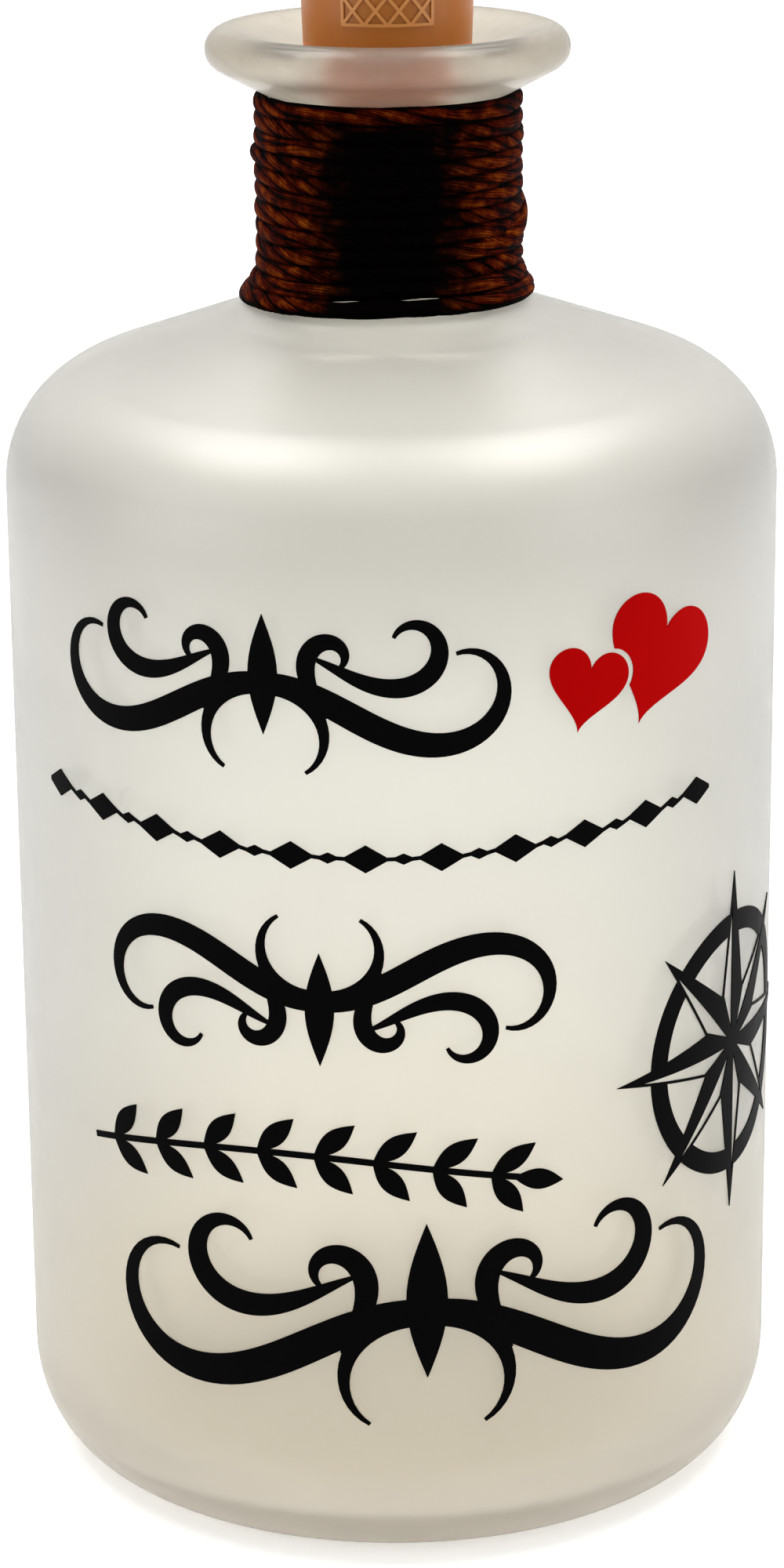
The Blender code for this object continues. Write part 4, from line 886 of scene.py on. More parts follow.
# %% Waxed cord material
def build_cord_material():
    """Fibres on the cord's UV map, wax over them, and a dull bump."""
    material = bpy.data.materials.new("waxed_fibres")
    tree = make_nodes(material)
    links = tree.links
    coords = add_node(tree, "ShaderNodeUVMap", uv_map="UVMap")
    soft = {"Detail": 3.0, "Roughness": 0.65}
    stretch = add_node(tree, "ShaderNodeMapping", {"Scale": FIBRE_STRETCH})
    fibres = add_node(tree, "ShaderNodeTexNoise", {"Scale": 1.0, **soft})
    patches = add_node(tree, "ShaderNodeTexNoise", {"Scale": WAX_PATCHES, **soft})
    smoothest, roughest = WAX_ROUGHNESS
    level = add_node(tree, "ShaderNodeMapRange", {"To Min": smoothest, "To Max": roughest})
    bump = add_node(tree, "ShaderNodeBump", {"Distance": FIBRE_RELIEF})
    shader = add_node(tree, "ShaderNodeBsdfPrincipled", {"IOR": 1.45, "Specular IOR Level": 0.01})
    output = add_node(tree, "ShaderNodeOutputMaterial")
    place, across, back, up = object_place(tree)
    links.new(coords.outputs[0], stretch.inputs[0])
    links.new(stretch.outputs[0], fibres.inputs["Vector"])
    links.new(place, patches.inputs["Vector"])
    unshaded = unshaded_share(tree, across, back, up, patches.outputs["Fac"])
    wax = wax_colour(tree, coords.outputs[0], fibres.outputs["Fac"], patches.outputs["Fac"])
    # The front takes the darkest wax colour: a painted shade.
    links.new(blend_colour(tree, unshaded, DARK_WAX_AND_SHADE, wax), shader.inputs["Base Color"])
    links.new(patches.outputs["Fac"], level.inputs["Value"])
    links.new(level.outputs[0], shader.inputs["Roughness"])
    links.new(fibres.outputs["Fac"], bump.inputs["Height"])
    links.new(bump.outputs[0], shader.inputs["Normal"])
    links.new(shader.outputs[0], output.inputs[0])
    return material


waxed_fibres = build_cord_material()
finish_piece("cord_winding", winding, "bottle", waxed_fibres, "waxed_cord", ["neck_cord"], 60.0)

# %% [markdown]
# ## Joining and cutting
# Some pieces are joined from several shapes or have holes. A Boolean modifier does both, and its
# result is read back into a bmesh, so that no helper object is left in the scene.

# %% Joining and cutting closed shapes
def combine(body, joined=None, cut=None):
    """One closed shape joined to a second and cut by a third; returns a new bmesh."""
    helpers = []
    for shape, operation in ((body, None), (joined, "UNION"), (cut, "DIFFERENCE")):
        if shape is None:
            continue
        mesh = bpy.data.meshes.new("shape")
        shape.to_mesh(mesh)
        shape.free()
        helpers.append(add_to_scene("shape", mesh))
        if operation:
            step = helpers[0].modifiers.new(operation.lower(), "BOOLEAN")
            step.operation = operation
            step.use_self = operation == "UNION"
            step.object = helpers[-1]
    result = read_shape(helpers[0])
    for helper in helpers:
        bpy.data.objects.remove(helper)
    return as_bmesh(result)


print("joining and cutting: ready")

# %% Turned profiles
CORNER_SEGMENTS = 4


def turn_profile(corners, steps=64, place=(0.0, 0.0)):
    """Spin a profile of (across, up, rounding) corners; it is open only where it meets the axis."""
    bm = bmesh.new()
    verts = [bm.verts.new((across, 0.0, up)) for across, up, rounding in corners]
    for first, second in zip(verts, verts[1:]):
        bm.edges.new((first, second))
    if corners[0][0] > 0.0:
        bm.edges.new((verts[-1], verts[0]))
    for vert, (across, up, rounding) in zip(verts, corners):
        if rounding > 0.0:
            bmesh.ops.bevel(
                bm,
                geom=[vert],
                offset=rounding,
                offset_type="OFFSET",
                affect="VERTICES",
                segments=CORNER_SEGMENTS,
                profile=0.5,
                material=-1,
            )
    around = {"cent": (0.0, 0.0, 0.0), "axis": (0.0, 0.0, 1.0), "angle": math.tau, "steps": steps}
    bmesh.ops.spin(bm, geom=bm.verts[:] + bm.edges[:], use_merge=True, **around)
    bmesh.ops.remove_doubles(bm, verts=bm.verts[:], dist=SLIVER)
    bmesh.ops.recalc_face_normals(bm, faces=bm.faces[:])
    bmesh.ops.translate(bm, verts=bm.verts[:], vec=(*place, 0.0))
    return bm


print("turned profiles: rounded corners have", CORNER_SEGMENTS, "segments")

# %% Blocks and rods
BLOCK_SEGMENTS = 3


def add_block(bm, low, high, rounding=0.0):
    """A block between two corners, with its edges rounded."""
    made = bmesh.ops.create_cube(bm, size=1.0)["verts"]
    bmesh.ops.scale(bm, vec=Vector(high) - Vector(low), verts=made)
    bmesh.ops.translate(bm, vec=(Vector(high) + Vector(low)) / 2, verts=made)
    if rounding > 0.0:
        edges = list({edge for vert in made for edge in vert.link_edges})
        shape = {"segments": BLOCK_SEGMENTS, "profile": 0.5, "material": -1}
        bmesh.ops.bevel(bm, geom=edges, offset=rounding, affect="EDGES", **shape)
    return bm


def add_rod(bm, radius, low, high, place=(0.0, 0.0), segments=32):
    """An upright rod between two heights."""
    middle = Matrix.Translation((*place, (low + high) / 2))
    ends = {"cap_ends": True, "radius1": radius, "radius2": radius, "depth": high - low}
    bmesh.ops.create_cone(bm, segments=segments, matrix=middle, **ends)
    return bm


print("blocks: rounded edges have", BLOCK_SEGMENTS, "segments")

# %% [markdown]
# ## Vinyl ornaments
# The ornaments are cut from thin self-adhesive film with a knife plotter and rubbed on to the glass.
# Film is one even thickness with square edges, so each ornament is drawn flat, joined into one sheet,
# and then bent round the body. A texture would be quicker, but it would have no edge that catches the
# light.

# %% Film materials
FILM_SURFACE = {"grain_size": 5000.0, "relief": 0.000004, "Specular_IOR_Level": 0.012}

black_film = drifting_material(
    "black_film", (0.0010, 0.0010, 0.0011), (0.0018, 0.0018, 0.0020), (0.38, 0.50), 70.0, **FILM_SURFACE
)
red_film = drifting_material(
    "red_film", (0.41, 0.0002, 0.0006), (0.37, 0.0002, 0.0005), (0.36, 0.48), 90.0, **FILM_SURFACE
)
BLACK = (black_film, "black_vinyl")
RED = (red_film, "red_vinyl")

# %% [markdown]
# ### Drawing flat
# A flat shape is either a patch with a known outline, or a pen stroke. A stroke is one short edge, the
# nib, that is extruded from point to point and turned and widened as it goes. Patches and strokes
# overlap freely, because a union joins them afterwards, as the plotter cuts only the outline of the
# whole.

# %% Patches and pen strokes
def add_patch(bm, outline):
    """A flat patch in the XZ plane from its outline of (across, up) points."""
    bm.faces.new([bm.verts.new((across, 0.0, up)) for across, up in outline])


def nib_ends(line, index, width, closed):
    """The two ends of the nib at one point of a line, square to the way the line runs there."""
    count = len(line)
    before = line[(index - 1) % count] if closed else line[max(index - 1, 0)]
    after = line[(index + 1) % count] if closed else line[min(index + 1, count - 1)]
    aside = (Vector(after) - Vector(before)).normalized().orthogonal() * width / 2
    middle = Vector(line[index])
    return [(end.x, 0.0, end.y) for end in (middle + aside, middle - aside)]


def add_stroke(bm, line, widths, closed=False):
    """A ribbon in the XZ plane: the nib is extruded from point to point."""
    places = [nib_ends(line, index, widths[index], closed) for index in range(len(line))]
    left, right = (bm.verts.new(place) for place in places[0])
    nib = bm.edges.new((left, right))
    for left_place, right_place in places[1:] + places[: int(closed)]:
        made = bmesh.ops.extrude_edge_only(bm, edges=[nib])["geom"]
        fresh = [item for item in made if isinstance(item, bmesh.types.BMVert)]
        if all(left not in edge.verts for edge in fresh[0].link_edges):
            fresh.reverse()
        left, right = fresh
        left.co, right.co = left_place, right_place
        nib = bm.edges.get(fresh)
    bmesh.ops.remove_doubles(bm, verts=bm.verts[:], dist=FINE_DOUBLE)


def place_points(points, place, tilt_deg=0.0):
    """Turn flat points about the origin, and then move them to their place."""
    tilt = math.radians(tilt_deg)
    return [
        (
            place[0] + across * math.cos(tilt) - up * math.sin(tilt),
            place[1] + across * math.sin(tilt) + up * math.cos(tilt),
        )
        for across, up in points
    ]


print("flat shapes: patches and strokes")

# %% From flat to film
FILM_THICKNESS = 0.00012
FILM_STRIP = 0.001
FILM_STAND = 0.00001


def thicken(bm, low, high):
    """Turn flat patches in the XZ plane into closed plates between two depths."""
    if bm is None:
        return None
    grown = bmesh.ops.extrude_face_region(bm, geom=bm.faces[:])["geom"]
    raised = {item for item in grown if isinstance(item, bmesh.types.BMVert)}
    for vert in bm.verts:
        vert.co.y = high if vert in raised else low
    bmesh.ops.recalc_face_normals(bm, faces=bm.faces[:])
    return bm


def bend_round(bm, reach_at, unroll_radius):
    """Cut a plate into upright strips and bend it round the axis, at the reach of each height."""
    bmesh.ops.triangulate(bm, faces=bm.faces[:])
    across = [vert.co.x for vert in bm.verts]
    for index in range(math.floor(min(across) / FILM_STRIP), math.ceil(max(across) / FILM_STRIP) + 1):
        everything = bm.verts[:] + bm.edges[:] + bm.faces[:]
        plane = {"plane_co": (index * FILM_STRIP, 0.0, 0.0), "plane_no": (1.0, 0.0, 0.0)}
        bmesh.ops.bisect_plane(bm, geom=everything, dist=FINE_DOUBLE, **plane)
    for vert in bm.verts:
        angle = vert.co.x / unroll_radius
        reach = reach_at(vert.co.z) + vert.co.y
        vert.co = (reach * math.sin(angle), -reach * math.cos(angle), vert.co.z)


def stick_on_glass(name, body, finish, joined=None, cut=None):
    """Make one film of flat patches and put it on the body in place of the plain node."""
    plates = [thicken(body, 0.0, FILM_THICKNESS), thicken(joined, 0.0, FILM_THICKNESS)]
    film = combine(*plates, cut=thicken(cut, -FILM_THICKNESS, 2 * FILM_THICKNESS))
    bend_round(film, lambda height: BODY_RADIUS + FILM_STAND, BODY_RADIUS)
    finish_piece(name + "_film", film, "bottle", *finish, [name], 30.0, FINE_DOUBLE)


print(f"film: {1000 * FILM_THICKNESS:.2f} mm thick, bent in strips of {1000 * FILM_STRIP:.1f} mm")

# %% [markdown]
# ### Two hearts
# The hearts are red film. A heart is a known curve, sampled finely so that its lobes stay round. The
# large heart has a margin cut out where the small one lies before it, so the two read as one behind the
# other.

# %% Hearts
SMALL_HEART = {"width": 0.0096, "place": (0.0207, 0.0980), "tilt_deg": -14.0}
LARGE_HEART = {"width": 0.0146, "place": (0.0300, 0.1000), "tilt_deg": -22.0}
HEART_MARGIN = 0.0006


def heart_patch(width, place, tilt_deg, points=96):
    """The curve is 32 units wide."""
    unit = width / 32
    outline = []
    for step in range(points):
        turn = math.tau * step / points
        across = 16 * math.sin(turn) ** 3
        up = 13 * math.cos(turn) - 5 * math.cos(2 * turn) - 2 * math.cos(3 * turn) - math.cos(4 * turn)
        outline.append((across * unit, up * unit))
    bm = bmesh.new()
    add_patch(bm, place_points(outline, place, tilt_deg))
    return bm


margin = dict(SMALL_HEART, width=SMALL_HEART["width"] + 2 * HEART_MARGIN)
stick_on_glass("vinyl_heart_small", heart_patch(**SMALL_HEART), RED)
stick_on_glass("vinyl_heart_large", heart_patch(**LARGE_HEART), RED, cut=heart_patch(**margin))

# %% [markdown]
# ### Compass rose
# An eight-pointed star lies over a ring. One half of each point is left bare with a thin outline, which
# makes the points look folded. The bare halves are cut through ring and star at once.

# %% Compass rose
COMPASS_PLACE = (0.0441, 0.0528)
COMPASS_RING_RADIUS = 0.0148
COMPASS_RING_WIDTH = 0.0024
COMPASS_REACHES = (0.0195, 0.0182)
COMPASS_WAIST = 0.0062
COMPASS_LINE_WIDTH = 0.0003
COMPASS_POINTS = 8
RING_STEPS = 128


def compass_corner(index, reach):
    """A place at a reach from the middle; two steps of the index lead from point to point."""
    angle = index * math.pi / COMPASS_POINTS
    return (COMPASS_PLACE[0] + reach * math.sin(angle), COMPASS_PLACE[1] + reach * math.cos(angle))


def shrink_triangle(corners, margin):
    """Move the sides of a triangle inwards by a margin."""
    points = [Vector(corner) for corner in corners]
    sides = [(points[index] - points[index - 1]).length for index in range(3)]
    around = sum(sides)
    centre = (points[0] * sides[2] + points[1] * sides[0] + points[2] * sides[1]) / around
    area = abs((points[1] - points[0]).cross(points[2] - points[0])) / 2
    kept = max(1 - margin * around / (2 * area), 0.0)
    return [tuple(centre + (point - centre) * kept) for point in points]


star, ring, bare = bmesh.new(), bmesh.new(), bmesh.new()
star_corners = []
for point in range(COMPASS_POINTS):
    tip = compass_corner(2 * point, COMPASS_REACHES[point % 2])
    bare_waist = compass_corner(2 * point - 1, COMPASS_WAIST)
    star_corners += [bare_waist, tip]
    add_patch(bare, shrink_triangle([COMPASS_PLACE, bare_waist, tip], COMPASS_LINE_WIDTH))
add_patch(star, star_corners)
ring_middle = COMPASS_RING_RADIUS - COMPASS_RING_WIDTH / 2
ring_turns = [2 * COMPASS_POINTS * step / RING_STEPS for step in range(RING_STEPS)]
ring_line = [compass_corner(turn, ring_middle) for turn in ring_turns]
add_stroke(ring, ring_line, [COMPASS_RING_WIDTH] * len(ring_line), closed=True)
stick_on_glass("vinyl_compass", star, BLACK, joined=ring, cut=bare)

# %% [markdown]
# ### Flourishes
# Pen flourishes are made of curls whose bend changes evenly along them, which is the curve that a
# swinging arm draws. A curl is walked both ways from its middle, swells in the middle and thins at its
# ends, and its mirror image stands on the other side of a pointed leaf. Places, lengths and weights are
# shares of the flourish's width, headings are in degrees, and the bends are the degrees of turning per
# length of the curl at its two ends.

# %% Flourishes
HAIRLINE = 0.0004
CURL_STEPS = 72
FLOURISHES = {
    "vinyl_flourish_upper": ((-0.0135, 0.0965), 0.053, 1),
    "vinyl_flourish_middle": ((-0.0080, 0.0680), 0.052, -1),
    "vinyl_flourish_lower": ((0.0030, 0.0265), 0.074, 1),
}
CURLS = (
    {"at": (0.20, -0.02), "heading": -28.0, "length": 0.95, "bends": (-760.0, 860.0), "weight": 0.046},
    {"at": (0.30, 0.06), "heading": 25.0, "length": 0.42, "bends": (-80.0, 620.0), "weight": 0.032},
    {"at": (0.09, 0.11), "heading": 70.0, "length": 0.26, "bends": (100.0, -620.0), "weight": 0.030},
)
LEAF_LENGTH, LEAF_WIDTH, LEAF_DROP = 0.24, 0.06, 0.05


def curl_line(middle, heading, length, bends):
    """The line of one curl, walked from its middle to both ends."""

    def turned_deg(share):
        return bends[0] * share + (bends[1] - bends[0]) * share**2 / 2

    halves = []
    for direction in (-1, 1):
        point = Vector(middle)
        half = [point]
        for step in range(CURL_STEPS // 2):
            share = 0.5 + direction * (step + 0.5) / CURL_STEPS
            angle = math.radians(heading + turned_deg(share) - turned_deg(0.5))
            point = point + Vector((math.cos(angle), math.sin(angle))) * direction * length / CURL_STEPS
            half.append(point)
        halves.append(half)
    return halves[0][:0:-1] + halves[1]


print("curls on each side of a flourish:", len(CURLS))


# %% Leaves and strokes of a flourish
def leaf_outline(length, width, steps=14):
    """A pointed leaf that lies along the way across."""
    shares = [step / steps for step in range(1, steps)]
    upper = [(length * share, width / 2 * math.sin(math.pi * share)) for share in shares]
    return [(0.0, 0.0)] + upper + [(length, 0.0)] + [(across, -up) for across, up in reversed(upper)]


def flourish_strokes(place, width, upright):
    """Every curl and its mirror image, the right way up or upside down."""
    strokes = bmesh.new()
    for side in (1.0, -1.0):
        for curl in CURLS:
            middle = [share * width for share in curl["at"]]
            line = curl_line(middle, curl["heading"], curl["length"] * width, curl["bends"])
            swells = [math.sin(math.pi * step / (len(line) - 1)) for step in range(len(line))]
            widths = [HAIRLINE + curl["weight"] * width * swell for swell in swells]
            placed = [(place[0] + side * point.x, place[1] + upright * point.y) for point in line]
            add_stroke(strokes, placed, widths)
    return strokes


for name, (place, width, upright) in FLOURISHES.items():
    leaf = bmesh.new()
    foot = (place[0], place[1] - upright * LEAF_DROP * width)
    outline = leaf_outline(LEAF_LENGTH * width, LEAF_WIDTH * width)
    add_patch(leaf, place_points(outline, foot, upright * 90.0))
    stick_on_glass(name, leaf, BLACK, joined=flourish_strokes(place, width, upright))

# %% [markdown]
# ### Lozenge chain and leaf sprig
# The narrow bands between the flourishes are a chain of large and small lozenges on a sagging hairline,
# and a bowed stem with its leaves in pairs. Both are single strokes, and the sprig has its leaves
# joined on.

# %% Lozenge chain
CHAIN_START = (-0.0420, 0.0835)
CHAIN_PITCH = 0.0078
CHAIN_LOZENGES = 11
CHAIN_SAG = 0.0025
SMALL_LOZENGE = 0.4
LOZENGE_LENGTH, LOZENGE_HEIGHT = 0.0044, 0.0030

chain = bmesh.new()
chain_line, chain_widths = [], []
last = 2 * (CHAIN_LOZENGES - 1)
for index in range(last + 1):
    size = 1.0 if index % 2 == 0 else SMALL_LOZENGE
    across = CHAIN_START[0] + index * CHAIN_PITCH / 2
    up = CHAIN_START[1] - CHAIN_SAG * math.sin(math.pi * index / last)
    half = LOZENGE_LENGTH * size / 2
    chain_line += [(across - half, up), (across, up), (across + half, up)]
    chain_widths += [HAIRLINE, LOZENGE_HEIGHT * size, HAIRLINE]
add_stroke(chain, chain_line, chain_widths)
stick_on_glass("vinyl_lozenge_chain", chain, BLACK)

# %% Leaf sprig
SPRIG_START = (-0.0370, 0.0450)
SPRIG_LENGTH = 0.050
SPRIG_RISE = 0.003
SPRIG_STEM = 0.0007
SPRIG_PAIRS = 8
SPRIG_LEAF = (0.0058, 0.0023)
SPRIG_SPREAD_DEG = 42.0
STEM_STEPS = 48


def sprig_point(share):
    """A place on the bowed stem, from 0 at its start to 1 at its end."""
    rise = SPRIG_RISE * math.sin(math.pi * share)
    return (SPRIG_START[0] + SPRIG_LENGTH * share, SPRIG_START[1] + rise)


stem, leaves = bmesh.new(), bmesh.new()
stem_line = [sprig_point(step / STEM_STEPS) for step in range(STEM_STEPS + 1)]
add_stroke(stem, stem_line, [SPRIG_STEM] * len(stem_line))
for pair in range(SPRIG_PAIRS):
    here, there = sprig_point(pair / SPRIG_PAIRS), sprig_point((pair + 1) / SPRIG_PAIRS)
    foot = sprig_point((pair + 0.5) / SPRIG_PAIRS)
    slope_deg = math.degrees(math.atan2(there[1] - here[1], there[0] - here[0]))
    for spread_deg in (SPRIG_SPREAD_DEG, -SPRIG_SPREAD_DEG):
        add_patch(leaves, place_points(leaf_outline(*SPRIG_LEAF), foot, slope_deg + spread_deg))
stem_end = (stem_line[-1][0] - SPRIG_STEM, stem_line[-1][1])
add_patch(leaves, place_points(leaf_outline(*SPRIG_LEAF), stem_end, slope_deg))
stick_on_glass("vinyl_sprig", stem, BLACK, joined=leaves)

# %% [markdown]
# ## The stopper's housing
# The amber lamp housing is one moulding of translucent plastic, tapered like a cork. Light enters it a
# little way and comes back warmer, which a plain diffuse colour can't show, so the plastic scatters
# below its surface. Its plug stands in the mouth and shows through the satin lip; there it has a
# brighter, redder colour than the top, a painted glow. The profile is spun with its bores and ledges,
# and the slot for the brass strip is cut out.

# %% Amber plastic
AMBER_SURFACE = {
    "drift_size": 90.0,
    "grain_size": 1500.0,
    "Specular_IOR_Level": 0.3,
    "Subsurface_Radius": (1.0, 0.45, 0.15),
}
amber_moulding = drifting_material(
    "amber_moulding",
    (0.40, 0.125, 0.006),
    (0.33, 0.092, 0.004),
    (0.30, 0.42),
    relief=0.000012,
    Subsurface_Weight=0.5,
    Subsurface_Scale=0.0040,
    **AMBER_SURFACE,
)

# %% Painted glow of the plug
# The plug's brighter, redder colour is a painted glow, as it is seen through the lip.
PLUG_GLOW_COLOUR = (0.92, 0.170, 0.001)
PLUG_TOP = CREST - 0.0013
PLUG_FADE = 0.0012


def paint_plug_glow(material):
    """Fade to a brighter, redder colour a little below the crest of the lip: a painted glow."""
    tree, finish, shader = open_finish(material, "ShaderNodeGroup", "ShaderNodeBsdfPrincipled")
    up = object_place(tree)[-1]
    fade = {"From Min": PLUG_TOP, "From Max": PLUG_TOP - PLUG_FADE}
    depth = add_node(tree, "ShaderNodeMapRange", fade)
    tree.links.new(up, depth.inputs["Value"])
    plug = blend_colour(tree, depth.outputs[0], finish.outputs["Colour"], PLUG_GLOW_COLOUR)
    tree.links.new(plug, shader.inputs["Base Color"])


paint_plug_glow(amber_moulding)
# Below this height the plug carries its painted glow.
print(f"plug: deeper below {1000 * PLUG_TOP:.1f} mm")

# %% Housing
SEAT_GAP = 0.0003
STOPPER_RADIUS = 0.00905
STOPPER_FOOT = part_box("stopper_shell")[0].z
SHELL_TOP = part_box("stopper_shell")[1].z
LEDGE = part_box("battery_sleeve")[0].z - SEAT_GAP
SLEEVE_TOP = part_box("battery_sleeve")[1].z
LAMP_FLOOR = STOPPER_FOOT + 0.0015
LENS_HOLE = 0.0031
LAMP_ROOM = 0.005
BATTERY_BORE = 0.0069
SHELL_BORE = 0.0078


def stopper_radius(height):
    """The outside of the stopper has the mouth's taper."""
    return STOPPER_RADIUS + (height - CREST) * math.tan(math.radians(BORE_TAPER_DEG))


shell = turn_profile(
    [
        (LENS_HOLE, STOPPER_FOOT, 0.0002),
        (stopper_radius(STOPPER_FOOT), STOPPER_FOOT, 0.0008),
        (stopper_radius(SHELL_TOP), SHELL_TOP, 0.0003),
        (SHELL_BORE, SHELL_TOP, 0.0002),
        (SHELL_BORE, SLEEVE_TOP, 0.0),
        (BATTERY_BORE, SLEEVE_TOP, 0.0001),
        (BATTERY_BORE, LEDGE, 0.0),
        (LAMP_ROOM, LEDGE, 0.0001),
        (LAMP_ROOM, LAMP_FLOOR, 0.0002),
        (LENS_HOLE, LAMP_FLOOR, 0.0001),
    ],
    steps=112,
)

# %% Slot for the strip
SLOT_FROM, SLOT_TO, SLOT_HALF_WIDTH = 0.004, 0.0066, 0.0018
CUT_OVER = 0.001
PART_SMOOTH_DEG = 35.0

slot_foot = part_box("return_strip")[0].z - SEAT_GAP
slot_low = (SLOT_FROM, -SLOT_HALF_WIDTH, slot_foot)
slot = add_block(bmesh.new(), slot_low, (SLOT_TO, SLOT_HALF_WIDTH, LEDGE + CUT_OVER))
housing = combine(shell, cut=slot)
amber_slots = (amber_moulding, "amber_plastic", ["stopper_shell"])
finish_piece("stopper_housing", housing, "stopper", *amber_slots, PART_SMOOTH_DEG)

# %% [markdown]
# ### Raised mould lines
# Thin raised lines stand on the front of the housing where the mould was engraved. They are drawn flat
# like the film, as a framed lattice, and bent to the taper, so they are as deep in the plastic at the
# top as at the foot. Their colour is paler than the housing's, a painted highlight.

# %% Raised lattice
LINE_WIDTH = 0.00034
LINE_HEIGHT = 0.00020
LINE_ROOT = 0.0001
PANEL_LOW = (-0.0048, 0.1613)
PANEL_HIGH = (0.0048, 0.1703)
PANEL_CELLS = (4, 3)


def panel_point(across_cells, up_cells):
    """A place on the panel, counted in its cells from the lower left corner."""
    return tuple(
        PANEL_LOW[axis] + (PANEL_HIGH[axis] - PANEL_LOW[axis]) * cells / PANEL_CELLS[axis]
        for axis, cells in enumerate((across_cells, up_cells))
    )


lattice, border = bmesh.new(), bmesh.new()
columns, rows = PANEL_CELLS
for offset in range(-rows, columns + 1):
    low = max(0, -offset)
    high = min(rows, columns - offset)
    if high > low:
        for mirrored in (False, True):
            ends = [(offset + cells, cells) for cells in (low, high)]
            ends = [(columns - across, up) if mirrored else (across, up) for across, up in ends]
            add_stroke(lattice, [panel_point(*end) for end in ends], [LINE_WIDTH] * 2)
print("cells of the lattice:", columns * rows)

# %% Border and finish of the lines
corner_cells = [(0, 0), (columns, 0), (columns, rows), (0, rows)]
for first, second in zip(corner_cells, corner_cells[1:] + corner_cells[:1]):
    along = (Vector(panel_point(*second)) - Vector(panel_point(*first))).normalized() * LINE_WIDTH / 2
    ends = [Vector(panel_point(*first)) - along, Vector(panel_point(*second)) + along]
    add_stroke(border, ends, [LINE_WIDTH] * 2)
# The lines are paler than the housing: a painted highlight.
painted_highlight_moulding = drifting_material(
    "painted_highlight_moulding", (0.52, 0.200, 0.035), (0.46, 0.170, 0.026), (0.30, 0.42), 90.0, 1500.0, 0.00001
)
lines = combine(thicken(border, -LINE_ROOT, LINE_HEIGHT), thicken(lattice, -LINE_ROOT, LINE_HEIGHT))
bend_round(lines, stopper_radius, STOPPER_RADIUS)
finish_piece("mould_lines", lines, "stopper", painted_highlight_moulding, "amber_plastic", (), 30.0, FINE_DOUBLE)

# %% [markdown]
# ## Cap and button
# The cap pushes into the top of the housing and is pulled off to change the cells, so its rim has grip
# flutes. They are inset into the faces of the rim after the spin, and not added to it, because a real
# flute is also cut into the wall. Two posts inside take the screws of the board. A cream button stands
# in the middle of the cap, with a raised rim that keeps a finger from slipping.

# %% Cap plastic
cap_moulding = drifting_material(
    "cap_moulding",
    (0.37, 0.118, 0.009),
    (0.32, 0.094, 0.007),
    (0.32, 0.45),
    relief=0.000014,
    Subsurface_Weight=0.25,
    Subsurface_Scale=0.0015,
    **AMBER_SURFACE,
)

# %% Cap
CAP_STEPS = 120
CAP_ROOM = 0.0063
SKIRT_RADIUS = 0.0075
SKIRT_DEPTH = 0.0035
CAP_THICKNESS = 0.002
CAP_OVERHANG = 0.0002
BUTTON_HOLE = 0.0032

cap_low, cap_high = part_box("stopper_cap")
CAP_TOP = cap_high.z
CAP_FOOT = cap_low.z + SKIRT_DEPTH
CAP_CEILING = CAP_TOP - CAP_THICKNESS
rim_radius = stopper_radius(CAP_FOOT) + CAP_OVERHANG
top_radius = stopper_radius(CAP_TOP) + CAP_OVERHANG

cap = turn_profile(
    [
        (CAP_ROOM, cap_low.z, 0.0001),
        (SKIRT_RADIUS, cap_low.z, 0.0003),
        (SKIRT_RADIUS, CAP_FOOT, 0.0),
        (rim_radius, CAP_FOOT, 0.0002),
        (top_radius, CAP_TOP, 0.0007),
        (BUTTON_HOLE, CAP_TOP, 0.0002),
        (BUTTON_HOLE, CAP_CEILING, 0.0),
        (CAP_ROOM, CAP_CEILING, 0.0),
    ],
    steps=CAP_STEPS,
)
print(f"cap: {2000 * top_radius:.1f} mm across its top")

# %% Grip flutes
FLUTE_PITCH = 3
FLUTE_DEPTH = 0.00022
FLUTE_MARGIN = 0.00012
STEP_DEG = 360.0 / CAP_STEPS


def rim_wall(middle_deg):
    """The faces of the rim's outside wall within one step of a direction."""
    ray = Vector((math.cos(math.radians(middle_deg)), math.sin(math.radians(middle_deg))))
    found = []
    for face in cap.faces:
        place = face.calc_center_median().xy
        near = place.normalized().dot(ray) > math.cos(math.radians(STEP_DEG))
        outer = face.normal.xy.normalized().dot(ray) > 0.9 and place.length > rim_radius - CAP_OVERHANG
        if near and outer and abs(face.normal.z) < 0.1:
            found.append(face)
    return found


inset = {"thickness": FLUTE_MARGIN, "depth": -FLUTE_DEPTH}
inset.update(use_even_offset=True, use_boundary=True)
flute_count = CAP_STEPS // FLUTE_PITCH
for flute in range(flute_count):
    bmesh.ops.inset_region(cap, faces=rim_wall((flute * FLUTE_PITCH + 1) * STEP_DEG), **inset)
print("flutes:", flute_count)

# %% Posts for the screws
SCREW_OFFSET = 0.0052
POST_RADIUS = 0.0016
PILOT_RADIUS = 0.0008
PILOT_FOOT = 0.165

posts, pilots = bmesh.new(), bmesh.new()
post_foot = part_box("circuit_board")[1].z + SEAT_GAP
pilot_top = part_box("board_screw_front")[1].z + SEAT_GAP
for back in (-SCREW_OFFSET, SCREW_OFFSET):
    add_rod(posts, POST_RADIUS, post_foot, CAP_CEILING + CUT_OVER, (0.0, back))
    add_rod(pilots, PILOT_RADIUS, PILOT_FOOT, pilot_top, (0.0, back))
cap = combine(cap, posts, pilots)
cap_slots = (cap_moulding, "amber_cap_plastic", ["stopper_cap"])
finish_piece("cap_with_grip", cap, "cap", *cap_slots, PART_SMOOTH_DEG)

